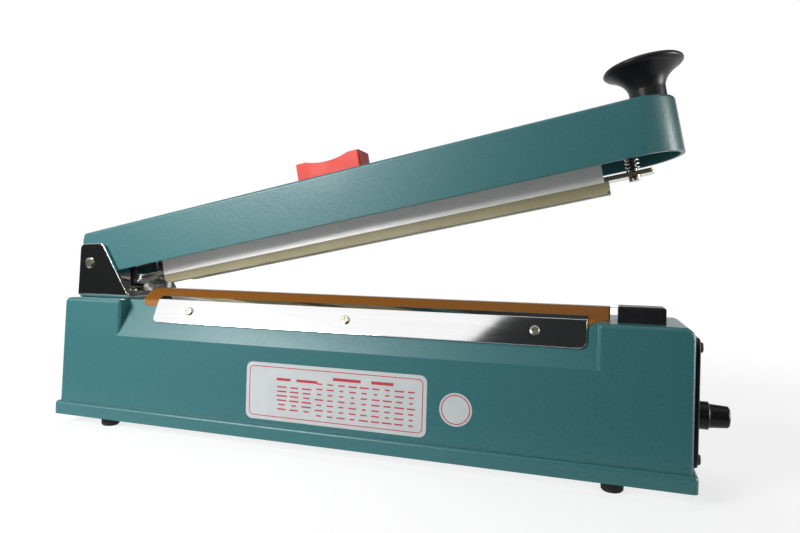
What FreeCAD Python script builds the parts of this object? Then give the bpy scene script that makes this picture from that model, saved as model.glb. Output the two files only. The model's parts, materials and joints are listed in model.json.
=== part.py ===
"""Hand impulse bag sealer with a sliding cutter, built as an assembly of separate pieces.

Millimetres, +Z up, +X from the hinge towards the handle, -Y is the operator's side.
The origin lies on the table under the middle of the overall box. The arm stands open, as its lift
spring holds it, and every piece on the arm is first drawn closed and then turned about the hinge.
"""

import FreeCAD
import Part

import math
import os

from FreeCAD import Vector

# Housing
housing_length = 435.0
housing_depth = 80.0
housing_height = 87.0
housing_left_x = -228.5
side_draft = 1.2
left_draft = 2.5
wall = 3.0
side_edge_radius = 2.4
left_top_radius = 4.0
right_top_radius = 6.0
turret_edge_radius = 2.0
flange_out = 2.5
flange_height = 9.5
flange_corner_radius = 3.0
flange_edge_radius = 2.2
foot_height = 7.5
foot_radius = 6.2
foot_from_left = 38.5
foot_from_right = 40.5
foot_y = 29.0
post_half = 5.0
post_top = 28.0
cover_thickness = 1.2

# Sloped recesses beside the sealing rail
left_turret = 53.7
right_turret = 49.9
recess_drop = 26.0
recess_depth = 13.0

# Sealing rail, heating ribbon and cloth
rail_in_recess = 11.3
rail_past_recess = 6.2
rail_top_half = 10.0
rail_rise = 7.6
groove_half = 1.5
groove_depth = 5.0
bed_width = 4.0
bed_depth = 0.35
tape_thickness = 0.15
ribbon_width = 2.5
ribbon_thickness = 0.2
ribbon_y = -6.3
ribbon_left_over = 24.5
ribbon_right_over = 14.2
cloth_thickness = 0.3
cloth_drop = 4.0
cloth_over = 3.0
cloth_corner = 8.0
cloth_edge_y = -2.0
clamp_from_rail = 15.0
clamp_from_recess = 6.1
clamp_thickness = 1.2
clamp_drop = 15.4
clamp_rise = 1.9
clamp_corner_radius = 4.0
clamp_screw_margin = 29.1
clamp_screw_drop = 7.0
cover_from_right = 14.0
cover_width = 25.5
cover_front_y = -26.0
cover_height = 9.3

# Arm and hinge
open_angle = 11.37
pivot_from_left = 16.0
pivot_above_top = 26.0
arm_half = 26.0
arm_wall = 2.5
arm_roof = 3.0
arm_top = 24.0
arm_bottom = -9.3
nose_from_right = 23.5
slot_start = 50.0
slot_before_nose = 23.5
slot_half = 2.5
arm_edge_radius = 2.0
bracket_thickness = 2.0
bracket_bend_radius = 3.0
ear_outline = ((-11.3, 0.0), (-9.2, 40.3), (11.2, 41.0), (35.1, 4.0), (35.1, 0.0))
ear_corner_radius = 4.0
back_tab_height = 19.0
bracket_side_gap = 1.0
bolt_radius = 2.5
bush_wall = 1.5
bush_flange = 0.7
running_gap = 0.05
clear_gap = 0.3

# Pressing bar
bar_start = 49.5
bar_before_nose = 21.5
bar_top = -3.5
bar_bottom = -18.0
bar_half = 9.0
bar_slot_margin = 14.5
blade_slot_half = 2.0
strip_depth = 6.3
strip_chamfer = 2.5
strip_width = 7.0
strip_over = 2.6
rear_strip_start = 65.0
tongue_thickness = 2.7
tongue_half = 7.0
tongue_overlap = 10.0
tongue_left = 25.0
tongue_past_nose = 7.5
guide_left = 41.0
guide_before_nose = 3.9
guide_radius = 2.5
guide_head_radius = 3.5
guide_head = 2.5
boss_radius = 5.5
boss_bottom = -2.0
bar_spring_radius = 3.9
bar_spring_wire = 0.9

# Cutter
grip_left = 174.0
grip_right = 222.5
grip_half = 10.0
grip_top = 39.0
grip_dip = 2.7
neck_left = 188.0
neck_right = 208.0
neck_half = 2.0
holder_half = 6.0
holder_bottom = 4.5
blade_half = 0.5
blade_tip = -21.5

# Handle knob
knob_past_nose = 12.0
knob_outline = ((10.5, 0), (10.5, 8.0), (11.3, 11.0), (13.3, 14.2), (16.7, 17.2), (20.1, 19.4))
knob_rim_outline = ((20.1, 19.4), (22.5, 20.9), (23.0, 21.9), (22.6, 23.0), (20.0, 24.2), (12.0, 26.0))
knob_height = 27.0
stud_radius = 3.0
stud_reach = 16.0

# End panel, timer and lamp
panel_thickness = 3.0
panel_half = 33.0
panel_low = 10.0
panel_from_top = 6.0
panel_screw_margin = 5.0
panel_opening_half = 24.0
timer_z = 33.4
lamp_z = 62.0
timer_collar_radius = 8.1
timer_collar = 8.8
timer_length = 19.5
timer_bushing = 3.6
timer_grip_radius = 6.9
timer_tip_radius = 6.2
shaft_radius = 3.0
nut_corner_ratio = 1.85

# Lift rod, spring and switch
rod_from_pivot = 15.0
rod_radius = 2.5
rod_top_w = -3.0
pin_radius = 2.0
eye_radius = 4.8
rod_below_seat = 5.0
collar_radius = 7.0
collar_height = 3.0
seat_drop = 36.5
lift_spring_radius = 5.0
lift_spring_wire = 1.3
lever_reach = 22.0
lever_below_rod = 2.7

# Fasteners and inlet
small_screw = 1.5
gland_from_right = 32.0
gland_z = 25.0
gland_bore = 3.6
gland_depth = 8.0
gland_length = 10.5

X = Vector(1, 0, 0)
Y = Vector(0, 1, 0)
Z = Vector(0, 0, 1)

half_depth = housing_depth / 2
low_z = foot_height
top_z = low_z + housing_height
right_x = housing_left_x + housing_length
roof_z = top_z - wall
rail_top = top_z + rail_rise
cloth_top = rail_top + cloth_thickness
pivot = Vector(housing_left_x + pivot_from_left, 0, top_z + pivot_above_top)
foot_left_x = housing_left_x + foot_from_left
foot_right_x = right_x - foot_from_right
recess_left_x = housing_left_x + left_turret
recess_right_x = right_x - right_turret
recess_low = housing_height - recess_drop
rail_left_x = recess_left_x + rail_in_recess
rail_right_x = recess_right_x + rail_past_recess
rail_foot_half = half_depth - recess_depth
ribbon_left_x = rail_left_x - ribbon_left_over
ribbon_right_x = rail_right_x + ribbon_right_over
clamp_left_x = rail_left_x + clamp_from_rail
clamp_right_x = recess_right_x - clamp_from_recess
cloth_left_x = rail_left_x - cloth_over
cover_right_x = right_x - cover_from_right
cover_left_x = cover_right_x - cover_width
nose_centre = right_x - pivot.x - nose_from_right
slot_end = nose_centre - slot_before_nose
bar_end = nose_centre - bar_before_nose
bar_slot_start = bar_start + bar_slot_margin
bar_slot_end = bar_end - bar_slot_margin
tongue_right = nose_centre + tongue_past_nose
guide_right = nose_centre - guide_before_nose
knob_at = nose_centre + knob_past_nose
rod_x = pivot.x + rod_from_pivot
seat_z = roof_z - seat_drop
rod_end_z = seat_z - rod_below_seat
lever_pivot_x = rod_x + lever_reach
lever_pivot_z = rod_end_z - lever_below_rod
gland_x = right_x - gland_from_right
gland_y = half_depth - gland_depth
panel_high = housing_height - panel_from_top
roof_under = arm_top - arm_roof
strip_bottom = bar_bottom - strip_depth
bar_travel = cloth_top + clear_gap - (pivot.z + strip_bottom)
panel_x = right_x + panel_thickness
slope_start = Vector(0, -half_depth + side_draft * recess_low / housing_height, low_z + recess_low)
slope_end = Vector(0, -half_depth + recess_depth, top_z)
cover_top = low_z + cover_thickness
parts = {}


def block(x0, x1, y0, y1, z0, z1):
    """A box between two corners."""
    return Part.makeBox(x1 - x0, y1 - y0, z1 - z0, Vector(x0, y0, z0))


def rod(radius, start, axis, length):
    """A cylinder from a start point along an axis."""
    return Part.makeCylinder(radius, length, Vector(*start), axis)


def prism(points, direction):
    """A polygon of 3-D points pushed along a vector."""
    corners = [Vector(*p) for p in points]
    return Part.Face(Part.makePolygon(corners + corners[:1])).extrude(direction)


def place(shape, centre, axis):
    """A copy of a shape drawn about +Z, turned to an axis and set on a centre."""
    moved = shape.copy()
    moved.Placement = FreeCAD.Placement(Vector(*centre), FreeCAD.Rotation(Z, axis))
    return moved


def turned(points, centre, axis=Z):
    """A closed half outline of (radius, along) pairs turned about an axis through a centre."""
    corners = [Vector(r, 0, h) for r, h in points]
    face = Part.Face(Part.makePolygon(corners + corners[:1]))
    return place(face.revolve(Vector(0, 0, 0), Z, 360), centre, axis)


def edges_where(shape, test):
    """The edges whose middle point passes a test."""
    return [e for e in shape.Edges if test(e.CenterOfMass)]


def edges_along(shape, direction, test=lambda p: True):
    """Straight edges parallel to a direction whose middle passes a test."""
    found = []
    for edge in shape.Edges:
        if len(edge.Vertexes) != 2:
            continue
        span = edge.Vertexes[1].Point - edge.Vertexes[0].Point
        if abs(span.Length - edge.Length) > 1e-4:
            continue
        if abs(span.normalize().dot(direction)) > 0.999 and test(edge.CenterOfMass):
            found.append(edge)
    return found


def pan_screw(point, axis, length, shank=small_screw):
    """A cross-slot pan head screw: the shank runs along the axis from under the head."""
    head_radius = shank * 1.9
    head_height = shank * 1.0
    slot = shank * 0.25
    dome = Part.makeCylinder(head_radius, head_height, Vector(0, 0, -head_height))
    rim = edges_where(dome, lambda p: p.z < -head_height + 0.01)
    dome = dome.makeFillet(head_height * 0.6, rim[:1])
    arm = head_radius * 0.6
    cross = block(-arm, arm, -slot, slot, -head_height - 1, -head_height * 0.45)
    cross = cross.fuse(cross.rotated(Vector(0, 0, 0), Z, 90))
    return place(dome.cut(cross).fuse(Part.makeCylinder(shank, length)), point, axis)


def screw_hole(point, axis, length, shank=small_screw):
    """The hole a screw of that size stands in, with a small gap all round."""
    return rod(shank + running_gap, Vector(*point) - axis * 0.5, axis, length + 1.0)


def hex_nut(centre, axis, bore, height):
    """A hexagon nut with a through bore."""
    across = bore * nut_corner_ratio
    corners = []
    for step in range(6):
        angle = math.radians(60 * step)
        corners.append((across * math.cos(angle), across * math.sin(angle), 0))
    body = prism(corners, Vector(0, 0, height))
    return place(body.cut(Part.makeCylinder(bore, height)), centre, axis)


def coil_spring(centre, axis, radius, wire, length, turns):
    """A round-wire helical spring standing on a seat."""
    rise = length - wire * 1.2
    helix = Part.makeHelix(rise / turns, rise, radius)
    section = Part.Wire(Part.makeCircle(wire / 2, Vector(radius, 0, 0), Y))
    coil = Part.Wire(helix.Edges).makePipeShell([section], True, True)
    return place(coil, Vector(*centre) + axis * (wire * 0.6), axis)


def group(shapes):
    """Several separate solids in one node."""
    return Part.makeCompound(list(shapes))


def keep(name, shape):
    """Files a finished piece under its node name."""
    parts[name] = shape


def on_arm(shape):
    """Turns a piece drawn on the closed arm up to the open rest position."""
    return shape.rotated(pivot, Y, -open_angle)


def at_arm(along, across, up):
    """A point of the closed arm, from distances along and above the hinge."""
    return (pivot.x + along, across, pivot.z + up)


def arm_block(u0, u1, y0, y1, w0, w1):
    """A box on the closed arm."""
    return block(pivot.x + u0, pivot.x + u1, y0, y1, pivot.z + w0, pivot.z + w1)


def offset_line(points, distance):
    """A (y, z) line moved sideways to its upper left, with mitred corners."""
    normals = []
    for a, b in zip(points, points[1:]):
        span = math.hypot(b[0] - a[0], b[1] - a[1])
        normals.append((-(b[1] - a[1]) / span, (b[0] - a[0]) / span))
    moved = []
    for index, point in enumerate(points):
        first = normals[max(index - 1, 0)]
        second = normals[min(index, len(normals) - 1)]
        scale = distance / (1 + first[0] * second[0] + first[1] * second[1])
        moved.append((point[0] + (first[0] + second[0]) * scale, point[1] + (first[1] + second[1]) * scale))
    return moved


def band(points, inner, outer, x0, x1):
    """A strip of even thickness that follows a (y, z) line from x0 to x1."""
    ring = offset_line(points, inner) + offset_line(points, outer)[::-1]
    return prism([(x0, y, z) for y, z in ring], Vector(x1 - x0, 0, 0))


def slope_point(drop):
    """The (y, z) point of the front recess slope at a drop below the housing top."""
    share = (top_z - drop - slope_start.z) / (slope_end.z - slope_start.z)
    return (slope_start.y + share * (slope_end.y - slope_start.y), top_z - drop)


def recess_tool(inset):
    """The wedge that cuts the front recess, moved into the metal by an inset."""
    along = (slope_end - slope_start).normalize()
    inward = Vector(0, along.z, -along.y) * inset
    low = slope_start - along * 15 + inward
    high = slope_end + along * 15 + inward
    points = []
    for y, z in ((low.y, low.z), (high.y, high.z), (-2 * half_depth, high.z), (-2 * half_depth, low.z)):
        points.append((recess_left_x - inset, y, z))
    return prism(points, Vector(recess_right_x - recess_left_x + 2 * inset, 0, 0))


def both_sides(shape):
    """A shape and its mirror image behind the middle plane."""
    return [shape, shape.mirror(Vector(0, 0, 0), Y)]


def screw_places():
    """The places and directions of every screw that enters the housing."""
    panel_levels = (panel_low + panel_screw_margin, panel_high - panel_screw_margin)
    bracket_top = top_z + bracket_thickness
    places = {
        "bracket": [(x, y, bracket_top) for x in (pivot.x - 3.5, rod_x) for y in (-18.0, 18.0)],
        "rail": [(x, 6.0, roof_z) for x in (rail_left_x + 43.5, 0.0, rail_right_x - 42.8)],
        "panel": [(panel_x, y, low_z + z) for y in (-28.5, 28.5) for z in panel_levels],
        "foot": [(x, y, 3.0) for x in (foot_left_x, foot_right_x) for y in (-foot_y, foot_y)],
    }
    return places


def clamp_places():
    """Head points and the inward direction of the clamp strip screws."""
    along = (slope_end - slope_start).normalize()
    inward = Vector(0, along.z, -along.y)
    y, z = slope_point(clamp_screw_drop)
    head = Vector(0, y, z) - inward * (clamp_thickness + cloth_thickness)
    middle = (clamp_left_x + clamp_right_x) / 2
    ends = (clamp_left_x + clamp_screw_margin, middle, clamp_right_x - clamp_screw_margin)
    return [head + X * x for x in ends], inward


def housing_shell():
    """The drafted outer body of the housing with its flange and front and rear recesses."""

    def ring(z, side, left):
        x0, y1 = housing_left_x + left, half_depth - side
        points = [Vector(x0, -y1, z), Vector(right_x, -y1, z), Vector(right_x, y1, z), Vector(x0, y1, z)]
        return Part.makePolygon(points + points[:1])

    body = Part.makeLoft([ring(low_z, 0, 0), ring(top_z, side_draft, left_draft)], True, True)
    ends = edges_along(body, Y, lambda p: p.z > top_z - 0.01)
    body = body.makeFillet(left_top_radius, [e for e in ends if e.CenterOfMass.x < 0])
    ends = edges_along(body, Y, lambda p: p.z > top_z - 0.01 and p.x > right_x - 1)
    body = body.makeFillet(right_top_radius, ends)
    sides = [e for e in body.Edges if abs(abs(e.CenterOfMass.y) - half_depth) < side_draft + 0.01]
    sides = [e for e in sides if e.CenterOfMass.z > low_z + 1.0]
    body = body.makeFillet(side_edge_radius, sides)
    for tool in both_sides(recess_tool(0.0)):
        body = body.cut(tool)
    turrets = []
    for edge in body.Edges:
        middle = edge.CenterOfMass
        beside = min(abs(middle.x - recess_left_x), abs(middle.x - recess_right_x)) < 0.01
        if beside and middle.z > top_z - 0.01:
            turrets.append(edge)
    body = body.makeFillet(turret_edge_radius, turrets)
    y1 = half_depth + flange_out
    flange = block(housing_left_x - flange_out, right_x + flange_out, -y1, y1, low_z, low_z + flange_height)
    flange = flange.makeFillet(flange_corner_radius, edges_along(flange, Z))
    rim = edges_where(flange, lambda p: p.z > low_z + flange_height - 0.01)
    flange = flange.makeFillet(flange_edge_radius, rim)
    return body.fuse(flange)


def base_casting():
    """The hollow cast housing with its posts, inlet pad, openings and screw holes."""
    inner = half_depth - side_draft - wall
    inner_left = housing_left_x + left_draft + wall
    cavity = block(inner_left, right_x - wall, -inner, inner, low_z - 1, roof_z)
    cavity = cavity.makeFillet(wall, edges_along(cavity, Z))
    for tool in both_sides(recess_tool(wall)):
        cavity = cavity.cut(tool)
    body = housing_shell().cut(cavity)
    for x in (foot_left_x, foot_right_x):
        post = block(x - post_half, x + post_half, -inner - 1, -foot_y + post_half, cover_top, post_top)
        for side in both_sides(post):
            body = body.fuse(side)
    pad = rod(gland_bore + 5.4, (gland_x, inner - 1, low_z + gland_z), Y, half_depth - inner + 1)
    body = body.fuse(pad)
    half = panel_opening_half
    low, high = low_z + panel_low + 6.5, top_z - 9.5
    body = body.cut(block(right_x - 2 * wall, right_x + 1, -half, half, low, high))
    body = body.cut(rod(gland_bore + 2.0, (gland_x, 0, low_z + gland_z), Y, half_depth + 5))
    body = body.cut(rod(rod_radius + 0.7, (rod_x, 0, roof_z - 1), Z, 3 * wall))
    seat = inner + 0.8
    body = body.cut(block(inner_left - 1.5, right_x - wall + 1, -seat, seat, low_z - 1, cover_top))
    places = screw_places()
    for point in places["bracket"]:
        body = body.cut(screw_hole(point, Z * -1, 12.0))
    for point in places["rail"]:
        body = body.cut(screw_hole(point, Z, wall))
    for point in places["panel"]:
        body = body.cut(screw_hole(point, X * -1, 12.0))
    for point in places["foot"]:
        body = body.cut(screw_hole(point, Z, 18.0))
    heads, inward = clamp_places()
    for point in heads:
        body = body.cut(screw_hole(point, inward, 9.0))
    return body.removeSplitter()


def feet_and_cover():
    """The sheet bottom, the four rubber feet and the screws that hold both."""
    inner = half_depth - side_draft - wall
    left = housing_left_x + left_draft + wall - 1.2
    cover = block(left, right_x - wall + 0.7, -inner - 0.5, inner + 0.5, low_z, cover_top)
    feet = []
    screws = []
    for point in screw_places()["foot"]:
        cover = cover.cut(screw_hole(point, Z, 18.0))
        outline = [(0, 0), (foot_radius - 1.0, 0), (foot_radius, 1.0)]
        outline += [(foot_radius + 0.3, foot_height), (0, foot_height)]
        foot = turned(outline, (point[0], point[1], 0))
        foot = foot.cut(rod(3.6, (point[0], point[1], -1), Z, 4.0)).cut(screw_hole(point, Z, 18.0))
        feet.append(foot)
        screws.append(pan_screw(point, Z, 18.0))
    for x, y in fixing_places():
        cover = cover.cut(screw_hole((x, y, cover_top + 1.5), Z * -1, 3.0))
    keep("bottom_cover", cover)
    keep("rubber_feet", group(feet))
    keep("foot_screws", group(screws))


def fixing_places():
    """Where the inner parts are screwed to the sheet bottom."""
    board = [(x, y) for x in (79.0, 149.0) for y in (-22.0, 22.0)]
    return [(lever_pivot_x - 4.5, 12.0), (-140.5, 0.0), (-59.5, 0.0)] + board


def end_panel():
    """The black panel on the right end, with the timer, its shaft, the lamp and four screws."""
    panel = block(right_x, panel_x, -panel_half, panel_half, low_z + panel_low, low_z + panel_high)
    panel = panel.makeFillet(6.0, edges_along(panel, X))
    panel = panel.makeFillet(1.0, edges_where(panel, lambda p: p.x > panel_x - 0.01))
    timer = (0, 0, low_z + timer_z)
    bushing = timer_bushing
    panel = panel.cut(rod(bushing + running_gap, (right_x - 1, 0, timer[2]), X, 6.0))
    panel = panel.cut(rod(3.0 + running_gap, (right_x - 1, 0, low_z + lamp_z), X, 6.0))
    screws = []
    for point in screw_places()["panel"]:
        panel = panel.cut(screw_hole(point, X * -1, 12.0))
        screws.append(pan_screw(point, X * -1, 8.0))
    keep("end_panel", panel)
    keep("panel_screws", group(screws))
    body = rod(8.0, (right_x - 9.0, 0, timer[2]), X, 9.0)
    body = body.fuse(rod(bushing, (right_x - 1, 0, timer[2]), X, panel_thickness + 3.6))
    body = body.fuse(block(right_x - 6.0, right_x - 4.0, -5.0, 5.0, timer[2] - 14.0, timer[2]))
    body = body.cut(rod(shaft_radius + running_gap, (right_x - 6.0, 0, timer[2]), X, 20.0))
    keep("timer_switch_body", body)
    keep("timer_nut", hex_nut((panel_x, 0, timer[2]), X, bushing, 2.0))
    keep("timer_shaft", rod(shaft_radius, (right_x - 5.5, 0, timer[2]), X, 18.5))
    start = clear_gap
    outline = [
        (0, start),
        (timer_collar_radius, start),
        (timer_collar_radius, timer_collar - 0.6),
        (timer_collar_radius - 0.6, timer_collar),
        (timer_grip_radius, timer_collar),
        (timer_tip_radius, timer_length - 0.8),
        (timer_tip_radius - 0.8, timer_length),
        (0, timer_length),
    ]
    knob = turned(outline, (panel_x, 0, timer[2]), X)
    knob = knob.cut(rod(bushing * nut_corner_ratio + clear_gap, (panel_x, 0, timer[2]), X, 4.2))
    knob = knob.cut(rod(shaft_radius, (panel_x, 0, timer[2]), X, 10.0))
    flute_ring = timer_grip_radius + 0.4
    for step in range(24):
        angle = math.radians(15 * step)
        y, z = flute_ring * math.cos(angle), flute_ring * math.sin(angle)
        knob = knob.cut(rod(0.55, (panel_x + timer_collar, y, timer[2] + z), X, 20.0))
    low = timer[2] + timer_tip_radius - 0.9
    pointer = block(panel_x + timer_collar, panel_x + 21.0, -0.4, 0.4, low, timer[2] + 9.0)
    keep("timer_knob", knob.cut(pointer))
    outline = [(0, -10.0), (3.0, -10.0), (3.0, 3.0), (4.2, 3.0), (4.2, 4.0), (0, 4.0)]
    lamp = turned(outline, (right_x, 0, low_z + lamp_z), X)
    keep("lamp_holder", lamp.cut(rod(3.4, (panel_x + 0.3, 0, low_z + lamp_z), X, 5.0)))
    outline = [(0, 0.3), (3.35, 0.3), (3.35, 2.0), (2.4, 3.2), (1.2, 3.8), (0, 4.0)]
    keep("lamp_lens", turned(outline, (panel_x, 0, low_z + lamp_z), X))


def sealing_rail():
    """The anvil rail with its ribbon, tape, cloth, clamp strip and screws."""
    outline = [
        (-rail_foot_half, top_z),
        (-rail_top_half, rail_top),
        (-groove_half, rail_top),
        (-groove_half, rail_top - groove_depth),
        (groove_half, rail_top - groove_depth),
        (groove_half, rail_top),
        (rail_top_half, rail_top),
        (rail_foot_half, top_z),
    ]
    rail = prism([(rail_left_x, y, z) for y, z in outline], Vector(rail_right_x - rail_left_x, 0, 0))
    bed = (ribbon_y - bed_width / 2, ribbon_y + bed_width / 2)
    floor = rail_top - bed_depth
    rail = rail.cut(block(rail_left_x - 1, rail_right_x + 1, bed[0], bed[1], floor, rail_top + 1))
    screws = []
    for point in screw_places()["rail"]:
        rail = rail.cut(screw_hole(point, Z, wall + 5.5))
        screws.append(pan_screw(point, Z, wall + 5.0))
    keep("anvil_rail", rail)
    keep("rail_screws", group(screws))
    keep("insulating_tape", block(rail_left_x, rail_right_x, bed[0], bed[1], floor, floor + tape_thickness))
    y0, y1 = ribbon_y - ribbon_width / 2, ribbon_y + ribbon_width / 2
    low = rail_top - ribbon_thickness
    keep("heating_ribbon", block(ribbon_left_x, ribbon_right_x, y0, y1, low, rail_top))
    foot = (-rail_foot_half, top_z)
    path = [slope_point(cloth_drop), foot, (-rail_top_half, rail_top), (cloth_edge_y, rail_top)]
    cloth = band(path, 0, cloth_thickness, cloth_left_x, rail_right_x)
    low, past = top_z - cloth_drop - 1, top_z + 1
    turret = recess_right_x - clear_gap
    end = rail_right_x + 1
    right_corner = [(turret - cloth_corner, low), (turret, top_z), (end, past), (end, low)]
    left_corner = [(cloth_left_x - 1, low), (cloth_left_x + cloth_corner, low), (cloth_left_x - 1, past + 3)]
    for corner in (left_corner, right_corner):
        cloth = cloth.cut(prism([(x, -half_depth, z) for x, z in corner], Y * 30))
    keep("ptfe_cloth", cloth)
    rise = rail_rise / (rail_foot_half - rail_top_half)
    high = top_z + clamp_rise
    upper = (-rail_foot_half + (high - top_z) / rise, high)
    outer = cloth_thickness + clamp_thickness
    line = [slope_point(clamp_drop), foot, upper]
    strip = band(line, cloth_thickness, outer, clamp_left_x, clamp_right_x)
    ends = edges_where(strip, lambda p: p.z < top_z - clamp_drop + 2.0)
    ends = [e for e in ends if abs(e.Length - clamp_thickness) < 0.01]
    strip = strip.makeFillet(clamp_corner_radius, ends)
    heads, inward = clamp_places()
    for point in heads:
        strip = strip.cut(screw_hole(point, inward, 9.0))
    keep("clamp_strip", strip)
    keep("clamp_screws", group(pan_screw(point, inward, 8.0) for point in heads))


def terminals():
    """The clamps that hold the two ends of the heating ribbon, and the cover over the right one."""
    x0 = ribbon_left_x
    left_block = block(x0 - 4.5, x0 + 8.5, -14.0, -2.0, top_z + bracket_thickness, rail_top - 2.2)
    cylinder_z = rail_top + 0.5
    cylinder = rod(2.75, (x0 - 4.5, ribbon_y, cylinder_z), X, 13.0)
    flat = block(x0 - 5.0, x0 + 9.0, -9.5, -3.0, cylinder_z - 3.0, rail_top - 2.2)
    slit = block(x0 - 1.0, x0 + 9.0, ribbon_y - 3.0, ribbon_y + 3.0, rail_top - ribbon_thickness, rail_top)
    screw_point = (x0 + 2.0, -11.7, rail_top - 2.2)
    left_block = left_block.cut(screw_hole(screw_point, Z * -1, 6.0))
    cylinder = cylinder.cut(flat).cut(slit)
    x0, x1 = cover_left_x, cover_right_x
    high = top_z + cover_height
    fit = 1.0 + running_gap
    insulator = block(x0 + fit, x1 - fit, cover_front_y + fit, -5.0, top_z, top_z + 3.0)
    keep("terminal_insulators", group([left_block, insulator]))
    brass = block(x0 + 3.0, x0 + 13.0, -13.0, -4.6, top_z + 3.0, rail_top + 0.6)
    y0, z0 = ribbon_y - ribbon_width / 2, rail_top - ribbon_thickness
    ribbon_slit = block(x0 + 2.0, ribbon_right_x, y0, -4.0, z0, rail_top)
    keep("ribbon_terminals", group([cylinder, brass.cut(ribbon_slit)]))
    cover = block(x0, x1, cover_front_y, -4.2, top_z, high)
    cover = cover.makeFillet(1.2, edges_where(cover, lambda p: p.z > high - 0.1))
    cover = cover.cut(block(x0 + 1, x1 - 1, cover_front_y + 1, -3.0, top_z - 1, high - 1.0))
    slot = block(x0 - 5, x0 + 3, ribbon_y - 1.8, -3.0, rail_top - 0.6, rail_top + 0.4)
    keep("terminal_cover", cover.cut(slot))
    keep("terminal_screw", pan_screw(screw_point, Z * -1, 5.0))


def hinge():
    """The polished hinge bracket, its screws and the hinge bolt with its nut."""
    outer = arm_half + bracket_side_gap + bracket_thickness
    inner = arm_half + bracket_side_gap
    x0 = pivot.x + ear_outline[0][0]
    x1 = pivot.x + ear_outline[-1][0]
    channel = block(x0, x1, -outer, outer, top_z, top_z + ear_outline[2][1] + 4.0)
    channel = channel.makeFillet(bracket_bend_radius, edges_along(channel, X, lambda p: p.z < top_z + 1))
    hollow = block(x0 - 1, x1 + 1, -inner, inner, top_z + bracket_thickness, top_z + 50.0)
    bend = edges_along(hollow, X, lambda p: p.z < top_z + 5)
    hollow = hollow.makeFillet(bracket_bend_radius - bracket_thickness, bend)
    points = [(pivot.x + x, -outer - 1, top_z + z) for x, z in ear_outline]
    side = prism(points, Vector(0, 2 * outer + 2, 0))
    side = side.makeFillet(ear_corner_radius, edges_along(side, Y, lambda p: p.z > pivot.z))
    lean = (ear_outline[1][0] - ear_outline[0][0]) / (ear_outline[1][1] - ear_outline[0][1])
    tab = []
    rim = back_tab_height
    thick = bracket_thickness
    for shift, height in ((0, 1.0), (0, rim), (thick, rim), (thick, 1.0)):
        tab.append((x0 + shift + lean * height, -inner - 0.5, top_z + height))
    bracket = channel.cut(hollow).fuse(prism(tab, Y * (2 * inner + 1))).common(side).removeSplitter()
    bracket = bracket.cut(rod(bolt_radius + running_gap, (pivot.x, -outer - 1, pivot.z), Y, 2 * outer + 2))
    bracket = bracket.cut(rod(rod_radius + 0.7, (rod_x, 0, top_z - 1), Z, 5.0))
    bracket = bracket.cut(screw_hole((ribbon_left_x + 2.0, -11.7, rail_top), Z * -1, 12.0))
    screws = []
    for point in screw_places()["bracket"]:
        bracket = bracket.cut(screw_hole(point, Z * -1, 6.0))
        screws.append(pan_screw(point, Z * -1, 10.0))
    keep("hinge_bracket", bracket)
    keep("bracket_screws", group(screws))
    head = turned([(0, -1.6), (2.9, -1.6), (3.9, -0.8), (3.9, 0), (0, 0)], (pivot.x, -outer, pivot.z), Y)
    bolt = head.fuse(rod(bolt_radius, (pivot.x, -outer, pivot.z), Y, 2 * outer + 6.5))
    slot = block(pivot.x - 5, pivot.x + 5, -outer - 3, -outer - 0.9, pivot.z - 0.5, pivot.z + 0.5)
    keep("hinge_bolt", bolt.cut(slot))
    keep("hinge_nut", hex_nut((pivot.x, outer, pivot.z), Y, bolt_radius, 4.5))


def arm_solid(inset):
    """The arm's outer body, or its hollow when drawn in by a wall thickness."""
    half = arm_half - inset
    plan = arm_block(-12.0, nose_centre, -half, half, -40.0, arm_top - inset * arm_roof / arm_wall)
    nose = rod(half, at_arm(nose_centre, 0, -40.0), Z, 40.0 + arm_top - inset * arm_roof / arm_wall)
    body = plan.fuse(nose).removeSplitter()
    if inset == 0:
        rim = edges_where(body, lambda p: p.z > pivot.z + arm_top - 0.01)
        body = body.makeFillet(arm_edge_radius, [e for e in rim if e.CenterOfMass.x > pivot.x - 11.0])
    low = arm_bottom - inset * 4
    tail = 9.3 - inset
    back = 5.0 - inset
    points = [
        at_arm(0, -60, low),
        at_arm(-tail * 0.707, -60, min(-tail * 0.707, low + 5)),
        at_arm(-tail, -60, 0),
        at_arm(-back - 1.5, -60, arm_top - 5.0),
        at_arm(-back + 1.5, -60, arm_top + 1),
        at_arm(nose_centre + 2 * arm_half, -60, arm_top + 1),
        at_arm(nose_centre + 2 * arm_half, -60, low),
    ]
    return body.common(prism(points, Vector(0, 120, 0)))


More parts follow.
